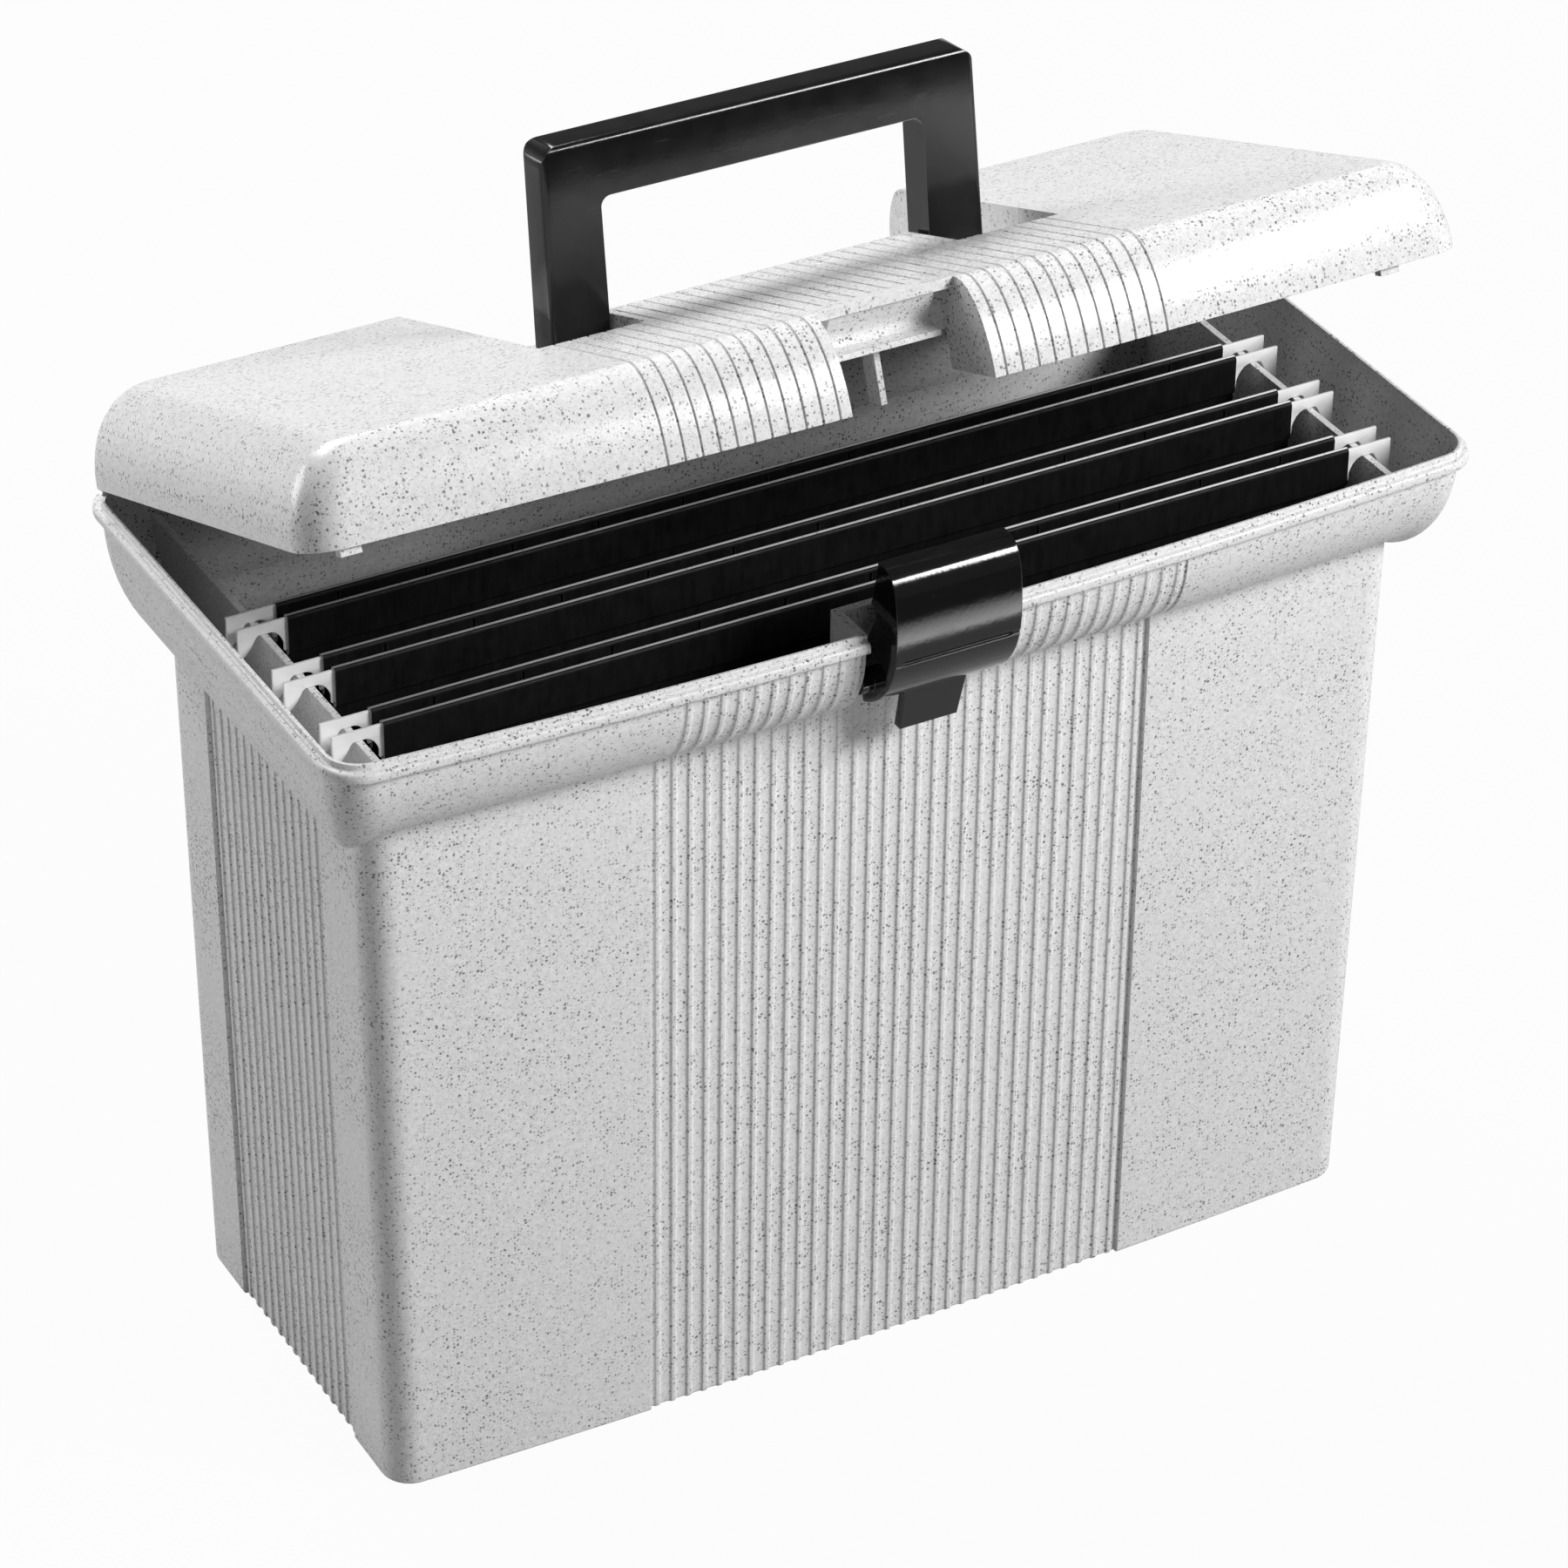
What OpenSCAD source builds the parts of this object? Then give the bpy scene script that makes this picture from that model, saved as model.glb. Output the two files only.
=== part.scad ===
// Portable hanging-file box: a tapered ribbed tub with a flared rim, a low
// ribbed lid on a rear hinge, a fold-down carrying handle, a front latch and
// three hanging folders on two moulded rails.
// Millimetres, +Z up, front face towards -Y, +X to the right. The origin is on
// the table under the middle of the tub. The lid stands part open.

/* [Tub] */
// Length over the ledge of the rim
rim_length = 351; // [290:1:430]
// Depth over the ledge of the rim at its corners
rim_depth = 164; // [150:1:190]
// Height of the top of the lip above the table
rim_height = 255.7; // [210:0.1:310]
// How far the rim stands out from the end walls
end_flare = 15.3; // [10:0.1:18]
// How far the rim stands out from the front and back walls
side_flare = 17.4; // [12:0.1:20]
// Height of the curved flare on the end walls
end_flare_height = 33.3; // [20:0.1:40]
// Height of the curved flare on the front and back walls
side_flare_height = 25.5; // [20:0.1:40]
// How much each end wall leans in towards the floor
end_draft = 3; // [1:0.5:8]
// How much the front and back walls lean in towards the floor
side_draft = 0.8; // [0.2:0.2:5]
// Bulge of the front wall at mid length
wall_bow = 3; // [0:0.5:6]
// Bulge of the rim at mid length
rim_bow = 5.5; // [0:0.5:9]
// Corner radius of the walls
wall_corner = 9; // [6:0.5:14]
// Corner radius of the rim and of the lid
rim_corner = 12; // [9:0.5:18]
// Moulded wall thickness
wall = 2.5; // [1.8:0.1:3.5]
// Thickness of the tub floor
floor_wall = 3; // [2:0.1:5]
// Height of the upright lip above the rounded ledge
lip_height = 1.8; // [1:0.1:4]
// Width of the ledge outside the lip
ledge_width = 2; // [1:0.1:3]
// Thickness of the lip
lip_wall = 1.2; // [0.8:0.1:2.5]

/* [Ribs] */
// Distance from one rib to the next
rib_pitch = 5; // [4:0.1:7]
// Width of a tub rib
rib_width = 1.3; // [0.8:0.1:2.5]
// Depth of the flute between two tub ribs
rib_depth = 0.8; // [0.4:0.1:1]
// How far the ribbed panels of the walls are sunk
panel_sink = 0.8; // [0.2:0.1:1]
// Number of ribs on the front wall
front_ribs = 31; // [11:2:35]
// Number of ribs on each end wall
end_ribs = 15; // [7:2:17]
// Width of the groove between two lid ribs
lid_groove = 1.1; // [0.6:0.1:2]
// Depth of the groove between two lid ribs
lid_groove_depth = 0.9; // [0.4:0.1:1.2]

/* [Rails and folders] */
// Distance from the end of the rim to the middle of a hanging rail
rail_inset = 19.9; // [18:0.1:24]
// How far the rail tops lie below the top of the lip
rail_drop = 11.3; // [10:0.1:20]
// Thickness of a rail
rail_wall = 2; // [1.5:0.1:3]
// Distance from the middle of a rail to the end of a folder's paper
paper_inset = 6.6; // [6:0.1:12]
// Height of the fold of a folder above the table
fold_height = 12.6; // [8:0.1:60]
// Thickness of the folder paper
paper = 0.6; // [0.4:0.05:1]
// Distance between the front and back panels of a folder at the top
folder_spread = 7.2; // [5:0.1:12]
// Distance from one folder to the next
folder_pitch = 29.3; // [20:0.1:35]
// Distance from the front of the rim to the middle of the front folder
folder_setback = 32.6; // [31:0.1:40]
// How far the hooks of a folder rod reach past the middle of a rail
hook_reach = 7.8; // [7.2:0.1:9]
// Height of a folder rod
rod_height = 10; // [8:0.5:14]
// Thickness of a folder rod
rod_wall = 0.9; // [0.6:0.05:1.2]
// Number of tab slots in the back panel of a folder
tab_slots = 9; // [5:2:11]

/* [Lid] */
// How far the lid stands open, in degrees
lid_open = 21; // [0:0.1:95]
// Height of the lid above its lower edge
lid_height = 26.1; // [20:0.1:40]
// How far the top of the lid is set in from its ends
lid_end_inset = 16.5; // [10:0.5:24]
// How far the top of the lid is set in from its front edge
lid_front_inset = 9.5; // [8:0.5:20]
// How far the top of the lid is set in from its back edge
lid_back_inset = 13; // [8:0.5:20]
// Room at each side of the handle in the sunk part between the two end domes
handle_room = 12.5; // [12:0.5:18]
// Distance from the back edge of the lid to the ribbed top
recess_depth = 75.9; // [70:0.1:80]
// Distance from the back edge of the lid to the front of a leg pocket
pocket_depth = 104.5; // [98:0.5:112]
// Height of the recess floor above the lower edge of the lid
recess_floor = 6.5; // [5:0.1:7]

/* [Handle] */
// Length of the handle over the feet of its legs
handle_length = 134; // [110:0.5:162]
// Height of the handle's top edge above its pivots
handle_reach = 65; // [50:0.5:66]
// Width of a handle leg at its foot
handle_leg = 17.7; // [14:0.1:20]
// How much each leg draws in on the outside towards the top
handle_taper = 1; // [0:0.1:2]
// Height of the grip bar
handle_bar = 16.8; // [14:0.1:20]
// Thickness of the handle
handle_thick = 12; // [9:0.5:12]
// How far the handle leans forward, in degrees
handle_lean = 13; // [0:0.1:30]

/* [Latch] */
// Width of the latch
latch_width = 38; // [31:0.5:46]
// Outer radius of the curved latch
latch_radius = 27.5; // [27:0.1:28.5]
// Wall of the latch
latch_wall = 3; // [2:0.1:3.5]
// Gap at each side of the latch in the rim
rim_notch_gap = 3.8; // [3:0.1:6]

/* [Pins] */
// Radius of the hinge, handle and latch pins
pin_r = 1.5; // [1.2:0.05:1.8]
// Clearance of a pin in a turning hole, on the radius
pin_play = 0.06; // [0.02:0.01:0.1]
// Gap between neighbouring knuckles
knuckle_gap = 0.4; // [0.3:0.05:0.8]

/* [Hidden] */

granite = [0.86, 0.86, 0.85];
black_plastic = [0.05, 0.05, 0.05];
white_coat = [0.93, 0.93, 0.92];
black_paper = [0.08, 0.08, 0.08];
steel = [0.7, 0.7, 0.72];

slop = 1;
front_steps = 16;
corner_steps = 6;
curve_step = 11.25;

// Half sizes of the tub at the ledge, at the foot of the flare and at the floor
ledge_x = rim_length / 2;
ledge_y = rim_depth / 2;
wall_x = ledge_x - end_flare;
wall_y = ledge_y - side_flare;
foot_x = wall_x - end_draft;
foot_y = wall_y - side_draft;
ledge_z = rim_height - lip_height;
bead_height = 3.7;
bead_step = 2;
flare_top = ledge_z - bead_height;
side_flare_z = flare_top - side_flare_height;
end_flare_z = flare_top - end_flare_height;
foot_round = 1.2;
lip_in = ledge_width + lip_wall;
panel_x = front_ribs * rib_pitch / 2;
panel_y = end_ribs * rib_pitch / 2;
panel_pad = 1.2;

// Hinge axis of the lid, level with the back of the lip
hinge_y = ledge_y - 1;
hinge_z = rim_height - 1.5;
knuckle_r = 3.5;
hinge_x = rim_length * 0.313;
lid_knuckle = 24;
tub_knuckle = 12;
lip_stop = 11;

// The closed lid: its lower edge lies just above the lip
lid_gap = 0.3;
lid_z = rim_height + lid_gap;
lid_set_in = 2.5;
lid_x = ledge_x - 1.2;
lid_y = ledge_y - lid_set_in;
lid_top = lid_z + lid_height;
lid_top_corner = 6;
recess_z = lid_z + recess_floor;
rib_edge_y = lid_y - recess_depth;
pocket_y = lid_y - pocket_depth;

// Handle pivots, in the recess just behind the ribbed top
handle_pivot_y = rib_edge_y - 0.5;
handle_pivot_z = recess_z + handle_thick / 2 + 1;
handle_inner = handle_length / 2 - handle_leg;
plateau_x = handle_inner - 1.5;
recess_width = handle_length + 2 * handle_room;
ear_wall = 4;
ear_x = handle_length / 2 + 1.5;
ear_r = 6;
handle_edge = 2;
handle_corner = 6;
grip_corner = 3;

// The notch in the rim and the latch in it
rim_notch_width = latch_width + 2 * rim_notch_gap;
lid_notch_width = latch_width + 5;
notch_back = ledge_y - 9.6;
notch_wall = 2.5;
latch_pivot_y = -(ledge_y - 2);
latch_pivot_z = rim_height - 18;
latch_cy = latch_pivot_y + 13;
latch_cz = latch_pivot_z + 17;
latch_side = 2.4;
latch_boss = 4;

// The hooked tongue in the lid that the tip of the latch snaps under the crest
// of, as [back from the crest, down from the top of the lid]
crest_y = -(lid_y - lid_front_inset);
catch_profile = [
    [0, 0], [0, 1.2], [2.5, 4.8], [4.7, 7.2], [6.4, 9.2], [6.8, 10.8], [5.8, 12.1],
    [0.5, 13.1], [0.5, 14.6], [8.5, 14.6], [9, 8], [6.6, 2.4], [6.6, 0]
];
catch_width = latch_width - 2 * latch_side - 1.6;
catch_rise = 14.6;
plain_crest = 6;
lining_y = crest_y + 9;
fin_wall = 1.8;
fin_depth = 7;
fin_drop = 4.6;

// A folder hangs with its rods on the rails
seat_gap = 0.3;
rail_x = ledge_x - rail_inset;
rail_top = rim_height - rail_drop;
paper_width = 2 * (rail_x - paper_inset);
rod_length = 2 * (rail_x + hook_reach);
front_folder_y = folder_setback - ledge_y;
paper_top = rail_top + 4.2;
rod_top = paper_top - paper - 0.1;
hem_width = rod_wall + 2 * paper + 0.4;
hem_height = rod_height + 2 * paper + 0.6;
fold_half = 1.6;
fold_z = fold_height + fold_half + paper / 2;
slot_width = 1.35;
slot_height = 4.5;
slot_top = 5.8;
slot_pitch = paper_width / 9.3;

// Outline of a level: straight back and ends, bowed front, round corners
function plan(hx, yf, yb, bow, r) = concat(
    [for (i = [0:front_steps])
        let (x = (hx - r) * (2 * i / front_steps - 1))
        [x, -yf - bow * (1 - pow(x / (hx - r), 2))]],
    [for (i = [1:corner_steps])
        let (a = -90 + 90 * i / corner_steps)
        [hx - r + r * cos(a), -yf + r + r * sin(a)]],
    [for (i = [0:corner_steps])
        let (a = 90 * i / corner_steps)
        [hx - r + r * cos(a), yb - r + r * sin(a)]],
    [for (i = [0:corner_steps])
        let (a = 90 + 90 * i / corner_steps)
        [r - hx + r * cos(a), yb - r + r * sin(a)]],
    [for (i = [0:corner_steps - 1])
        let (a = 180 + 90 * i / corner_steps)
        [r - hx + r * cos(a), -yf + r + r * sin(a)]]
);

// Share of the front or back wall, rather than of an end wall, at each point
function side_share() = concat(
    [for (i = [0:front_steps]) 1],
    [for (i = [1:corner_steps]) pow(cos(90 * i / corner_steps), 2)],
    [for (i = [0:corner_steps]) pow(sin(90 * i / corner_steps), 2)],
    [for (i = [0:corner_steps]) pow(cos(90 * i / corner_steps), 2)],
    [for (i = [0:corner_steps - 1]) pow(sin(90 * i / corner_steps), 2)]
);

// Solid through a list of levels, each [height or list of heights, outline]
module loft(levels) {
    n = len(levels[0][1]);
    last = len(levels) - 1;
    points = [for (level = levels) for (i = [0:n - 1])
        [level[1][i][0], level[1][i][1], is_list(level[0]) ? level[0][i] : level[0]]];
    sides = [for (k = [0:last - 1]) for (i = [0:n - 1])
        let (a = k * n + i, b = k * n + (i + 1) % n)
        each [[a, a + n, b + n], [a, b + n, b]]];
    caps = [[for (i = [0:n - 1]) i], [for (i = [0:n - 1]) (last + 1) * n - 1 - i]];
    polyhedron(points = points, faces = concat(sides, caps), convexity = 8);
}

// A profile drawn in Y and Z, given a width along X
module along_x(width) {
    rotate([90, 0, 90]) linear_extrude(height = width, center = true) children();
}

// A profile drawn in X and Z, given a depth along Y
module along_y(depth) {
    rotate([90, 0, 0]) linear_extrude(height = depth, center = true) children();
}

// A round bar along X
module bar_x(r, length, y, z, x = 0) {
    translate([x, y, z]) rotate([0, 90, 0]) cylinder(r = r, h = length, center = true, $fn = 48);
}

// Turns what is drawn on the closed lid to where the lid stands
module on_lid() {
    translate([0, hinge_y, hinge_z])
        rotate([-lid_open, 0, 0])
            translate([0, -hinge_y, -hinge_z])
                children();
}

// Bulge of the front at a distance x from the middle
function bow_at(x, bow) = bow * (1 - pow(x / (ledge_x - rim_corner), 2));

// Height and reach of the flare's outer face at angle t, skin inside it
function side_level(t) = side_flare_z + side_flare_height * (1 - cos(t));
function end_level(t) = end_flare_z + end_flare_height * (1 - cos(t));
function flare_levels(t, rise) =
    [for (w = side_share()) w * side_level(t) + (1 - w) * end_level(t) + rise];
function flare_bow(t) = wall_bow + (rim_bow - wall_bow) * sin(t);
function flare_corner(t) = wall_corner + (rim_corner - wall_corner) * sin(t);

function tub_plan(t, inset) = plan(
    wall_x + (end_flare - bead_step) * sin(t) - inset,
    wall_y + (side_flare - bead_step) * sin(t) - inset,
    wall_y + (side_flare - bead_step) * sin(t) - inset,
    flare_bow(t),
    flare_corner(t) - inset * 0.9
);

function rim_plan(inset) = plan(
    ledge_x - inset, ledge_y - inset, ledge_y - inset, rim_bow, rim_corner - inset * 0.9
);

function foot_plan(inset) = plan(
    foot_x - inset, foot_y - inset, foot_y - inset, wall_bow, wall_corner - inset * 0.9
);

module tub_outside() {
    loft(concat(
        [[0, foot_plan(foot_round)],
         [foot_round * 0.3, foot_plan(foot_round * 0.3)],
         [foot_round, foot_plan(0)],
         [flare_levels(0, -0.01), tub_plan(0, 0)]],
        [for (t = [curve_step:curve_step:90]) [flare_levels(t, 0), tub_plan(t, 0)]],
        // Rounded bead of the ledge, then the lip
        [[flare_top + 0.4, rim_plan(bead_step - 0.9)],
         [flare_top + 0.8, rim_plan(0.2)],
         [flare_top + 1, rim_plan(0)],
         [ledge_z - 1, rim_plan(0)],
         [ledge_z - 0.5, rim_plan(0.2)],
         [ledge_z - 0.15, rim_plan(0.6)],
         [ledge_z, rim_plan(1.1)],
         [ledge_z + 0.1, rim_plan(ledge_width)],
         [rim_height, rim_plan(ledge_width)]]
    ));
}

module tub_inside() {
    loft(concat(
        [[floor_wall, foot_plan(wall)],
         [flare_levels(0, wall), tub_plan(0, wall)]],
        [for (t = [curve_step:curve_step:90 - curve_step])
            [flare_levels(t, wall * cos(t)), tub_plan(t, wall * sin(t))]],
        [[flare_top + 1, rim_plan(lip_in + 0.4)],
         [rim_height + slop, rim_plan(lip_in)]]
    ));
}

// What is cut from the front between x0 and x1: the wall by the sink and by a
// depth, the flare above it by the depth alone
module front_cut(x0, x1, depth) {
    b = bow_at((x0 + x1) / 2, 1);
    d = depth + panel_sink;
    reach = ledge_y + 20;
    skin = concat(
        [[-(foot_y + wall_bow * b - d), -slop],
         [-(wall_y + wall_bow * b - d), side_flare_z + depth]],
        depth == 0 ? [[-reach, side_flare_z]] : concat(
            [for (t = [0:curve_step:90])
                [-(wall_y + (side_flare - bead_step) * sin(t) + flare_bow(t) * b - depth * sin(t)),
                 side_level(t) + depth * cos(t)]],
            [[-reach, flare_top]])
    );
    translate([(x0 + x1) / 2, 0, 0]) along_x(x1 - x0)
        polygon(concat(skin, [[-reach, -slop]]));
}

// What is cut from an end wall between y0 and y1, up to the foot of the flare
module end_cut(side, y0, y1, depth) {
    d = depth + panel_sink;
    skin = [
        [foot_x - d, -slop],
        [wall_x - d, end_flare_z],
        [wall_x + 20, end_flare_z],
        [wall_x + 20, -slop]
    ];
    translate([0, (y0 + y1) / 2, 0]) along_y(y1 - y0)
        polygon([for (p = skin) [side * p[0], p[1]]]);
}

// Start and end of each flute of a ribbed panel, over a share of its width
function flutes(count, share) = [for (i = [0:count])
    let (x = (i - count / 2) * rib_pitch, w = (rib_pitch - rib_width) * share / 2,
        edge = count * rib_pitch / 2)
    [max(-edge, x - w), min(edge, x + w)]];

function ribs(count) = [for (i = [0:count - 1])
    let (x = (i - (count - 1) / 2) * rib_pitch)
    [x - rib_width / 2 - 0.02, x + rib_width / 2 + 0.02]];

module panels() {
    for (f = ribs(front_ribs)) front_cut(f[0], f[1], 0);
    for (f = flutes(front_ribs, 1)) front_cut(f[0], f[1], rib_depth / 2);
    for (f = flutes(front_ribs, 0.6)) front_cut(f[0], f[1], rib_depth);
    for (side = [-1, 1]) {
        end_cut(side, -panel_y, panel_y, 0);
        for (f = flutes(end_ribs, 1)) end_cut(side, f[0], f[1], rib_depth / 2);
        for (f = flutes(end_ribs, 0.6)) end_cut(side, f[0], f[1], rib_depth);
    }
}

// Thicker wall behind the ribbed panels
module panel_backs() {
    skin = 0.5;
    inner = wall + panel_pad;
    spread = panel_x + 2;
    xs = [for (i = [0:10]) spread * (i / 5 - 1)];
    loft([for (level = [[floor_wall - slop, foot_y], [side_flare_z - slop, wall_y]])
        [level[0], concat(
            [for (x = xs) [x, -(level[1] + wall_bow * bow_at(x, 1) - skin)]],
            reversed([for (x = xs) [x, -(level[1] + wall_bow * bow_at(x, 1) - inner)]]))]]);
    profile = [
        [foot_x - skin, floor_wall - slop], [wall_x - skin, end_flare_z - slop],
        [wall_x - inner, end_flare_z - slop], [foot_x - inner, floor_wall - slop]
    ];
    for (side = [-1, 1])
        along_y(2 * panel_y + 4) polygon([for (p = profile) [side * p[0], p[1]]]);
}

// One of the two rails that the folders hang on, on a small shelf of the end wall
module rail(side) {
    inner = rail_x - rail_wall / 2;
    outer = rail_x + rail_wall / 2;
    skin = wall_x - wall / 2;
    profile = [
        [inner, end_flare_z - 6], [inner, rail_top], [outer, rail_top], [outer, end_flare_z],
        [skin, end_flare_z], [skin, end_flare_z - 12]
    ];
    along_y(rim_depth) polygon([for (p = profile) [side * p[0], p[1]]]);
}

// Hinge knuckles of the tub at one end, one each side of the lid's knuckle
module tub_knuckles(side) {
    for (k = [-1, 1])
        translate([side * hinge_x + k * (lid_knuckle + tub_knuckle + 2 * knuckle_gap) / 2, 0, 0]) {
            bar_x(knuckle_r, tub_knuckle, hinge_y, hinge_z);
            along_x(tub_knuckle) polygon([
                [hinge_y - knuckle_r, ledge_z - 4],
                [hinge_y - knuckle_r, hinge_z],
                [hinge_y + knuckle_r, hinge_z],
                [hinge_y + 0.5, ledge_z - 4]
            ]);
        }
}

module tub() {
    color(granite) difference() {
        union() {
            difference() {
                union() {
                    difference() {
                        tub_outside();
                        tub_inside();
                    }
                    panel_backs();
                }
                panels();
            }
            intersection() {
                tub_outside();
                union() {
                    rail(-1);
                    rail(1);
                    translate([0, -notch_back - 20 + notch_wall, side_flare_z + 20])
                        cube([rim_notch_width + 2 * notch_wall, 40, 40], center = true);
                }
            }
            tub_knuckles(-1);
            tub_knuckles(1);
        }
        // The opening in the rim that the latch stands in
        translate([-rim_notch_width / 2, -notch_back - 40, side_flare_z - 10])
            cube([rim_notch_width, 40, rim_height]);
        bar_x(pin_r, rim_notch_width + 2 * notch_wall - 1, latch_pivot_y, latch_pivot_z);
        // The lip stops short of the hinge line
        translate([-ledge_x, ledge_y - lip_stop, ledge_z])
            cube([2 * ledge_x, lip_stop - 1 - knuckle_r - 0.5, lip_height + slop]);
        for (side = [-1, 1]) {
            bar_x(pin_r, 80, hinge_y, hinge_z, side * hinge_x);
            bar_x(knuckle_r + knuckle_gap, lid_knuckle + 2 * knuckle_gap, hinge_y, hinge_z,
                side * hinge_x);
        }
    }
}

// Height and reach of the lid's outer face at angle t
function lid_plan(t, inset) = plan(
    lid_x - lid_end_inset * (1 - cos(t)) - inset,
    lid_y - lid_front_inset * (1 - cos(t)) - inset,
    lid_y - lid_back_inset * (1 - cos(t)) - inset,
    rim_bow * cos(t),
    lid_top_corner + (rim_corner - lid_top_corner) * cos(t) - inset * 0.9
);

module lid_outside() {
    loft([for (t = [0:curve_step:90]) [lid_z + lid_height * sin(t), lid_plan(t, 0)]]);
}

module lid_inside() {
    loft(concat(
        [[lid_z - slop, lid_plan(0, wall)]],
        [for (t = [0:curve_step:90]) [lid_z + (lid_height - wall) * sin(t), lid_plan(t, wall)]]
    ));
}

// The space for the folded handle and for its legs, grown by a skin thickness
module lid_recess(skin) {
    translate([-recess_width / 2 - skin, rib_edge_y - skin, recess_z - skin])
        cube([recess_width + 2 * skin, 100, 60]);
    for (side = [-1, 1]) {
        width = (recess_width / 2 - plateau_x) + 2 * skin;
        middle = side * (recess_width / 2 + plateau_x) / 2;
        translate([middle - width / 2, pocket_y - skin, recess_z - skin])
            cube([width, recess_depth, 60]);
    }
}

// A groove between two ribs of the lid, down its front and back over its top
module lid_rib_groove(x) {
    b = bow_at(x, 1);
    d = lid_groove_depth;
    skin = [for (t = [0:curve_step:90])
        [-(lid_y - lid_front_inset * (1 - cos(t)) + rim_bow * cos(t) * b - d * cos(t)),
         lid_z + lid_height * sin(t) - d * sin(t)]];
    far = [
        [rib_edge_y + slop, lid_top - d], [rib_edge_y + slop, lid_top + 10],
        [-(lid_y + 20), lid_top + 10], [-(lid_y + 20), lid_z - slop], [skin[0][0], lid_z - slop]
    ];
    if (abs(x) < lid_notch_width / 2 + lid_groove)
        translate([x - lid_groove / 2, crest_y + plain_crest, lid_top - d])
            cube([lid_groove, rib_edge_y + slop - crest_y - plain_crest, 10]);
    else
        translate([x, 0, 0]) along_x(lid_groove) polygon(concat(skin, far));
}

// Ears that carry the outer ends of the handle pins
module handle_ear(side) {
    middle = side * (ear_x + ear_wall / 2);
    bar_x(ear_r, ear_wall, handle_pivot_y, handle_pivot_z, middle);
    translate([middle - ear_wall / 2, handle_pivot_y - ear_r, recess_z - wall / 2])
        cube([ear_wall, 2 * ear_r, handle_pivot_z - recess_z + wall / 2]);
}

// Walls that line the opening for the latch, with the catch between them
module lid_notch_lining() {
    half = lid_notch_width / 2;
    intersection() {
        lid_outside();
        for (side = [-1, 1])
            translate([side * (half + 1) - 1, -lid_y - 20, lid_z])
                cube([2, lid_y + 20 + lining_y, lid_height]);
    }
    along_x(catch_width) polygon([for (p = catch_profile) [crest_y + p[0], lid_top - p[1]]]);
    // Centre fin that drops behind the rim
    translate([-fin_wall / 2, lining_y, lid_z - fin_drop])
        cube([fin_wall, fin_depth, lid_height + fin_drop - wall / 2]);
    translate([-fin_wall / 2, lining_y - slop, lid_top - catch_rise])
        cube([fin_wall, 2 * slop, catch_rise - wall / 2]);
}

module lid_front_opening() {
    translate([-lid_notch_width / 2, crest_y - 40, lid_z - slop])
        cube([lid_notch_width, 40, lid_height + 2 * slop]);
}

module lid_closed() {
    difference() {
        union() {
            difference() {
                lid_outside();
                difference() {
                    lid_inside();
                    lid_recess(wall);
                }
                lid_recess(0);
                lid_front_opening();
            }
            lid_notch_lining();
            handle_ear(-1);
            handle_ear(1);
            for (side = [-1, 1]) {
                // Hinge knuckle and its root in the back wall
                bar_x(knuckle_r, lid_knuckle, hinge_y, hinge_z, side * hinge_x);
                translate([side * hinge_x, 0, 0]) along_x(lid_knuckle) polygon([
                    [lid_y - wall, lid_z], [lid_y - wall, lid_z + 8], [lid_y - 0.6, lid_z + 8],
                    [hinge_y + knuckle_r - 0.2, hinge_z + 1], [hinge_y, hinge_z - 1],
                    [hinge_y - 1.5, lid_z]
                ]);
                // Locating nub just inside the lip
                translate([side * (lid_x - 18.5) - 3, -lid_y + wall - 0.5, lid_z - 3])
                    cube([6, 3, 8]);
            }
        }
        for (i = [0:front_ribs - 1])
            lid_rib_groove((i - (front_ribs - 1) / 2) * rib_pitch);
        for (side = [-1, 1]) {
            bar_x(pin_r, 4 * ear_wall + handle_leg + 10, handle_pivot_y, handle_pivot_z,
                side * (handle_inner + handle_leg / 2));
            bar_x(pin_r + pin_play, lid_knuckle + slop, hinge_y, hinge_z, side * hinge_x);
            for (k = [-1, 1])
                bar_x(knuckle_r + knuckle_gap, tub_knuckle + 2 * knuckle_gap, hinge_y, hinge_z,
                    side * hinge_x + k * (lid_knuckle + tub_knuckle + 2 * knuckle_gap) / 2);
        }
    }
}

module lid() {
    color(granite) on_lid() lid_closed();
}

// Outline of the handle seen from the front
module handle_outline() {
    foot = handle_length / 2;
    half = foot - handle_taper;
    c = handle_corner;
    g = grip_corner;
    difference() {
        union() {
            polygon([[-foot, -handle_thick / 2], [foot, -handle_thick / 2],
                     [half, handle_reach - c], [-half, handle_reach - c]]);
            translate([-half + c, 0]) square([2 * (half - c), handle_reach]);
            for (side = [-1, 1])
                translate([side * (half - c), handle_reach - c]) circle(r = c, $fn = 48);
        }
        translate([-handle_inner, -handle_thick])
            square([2 * handle_inner, handle_thick + handle_reach - handle_bar - g]);
        translate([-handle_inner + g, 0])
            square([2 * (handle_inner - g), handle_reach - handle_bar]);
        for (side = [-1, 1])
            translate([side * (handle_inner - g), handle_reach - handle_bar - g])
                circle(r = g, $fn = 48);
    }
}

// A square block with its four long corners rounded
module soft_square(w, h, r) {
    translate([-w / 2, r]) square([w, h - 2 * r]);
    translate([r - w / 2, 0]) square([w - 2 * r, h]);
    for (x = [r - w / 2, w / 2 - r]) for (y = [r, h - r])
        translate([x, y]) circle(r = r, $fn = 32);
}

// Block with rounded edges along the outer face of one leg
module handle_flank(side) {
    translate([side * handle_length / 2, 0, 0])
        rotate([0, -side * atan(handle_taper / (handle_reach - handle_corner)), 0])
            translate([-side * handle_length, -handle_thick / 2, -handle_thick])
                linear_extrude(height = handle_reach + 2 * handle_thick)
                    soft_square(2 * handle_length, handle_thick, handle_edge);
}

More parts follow.
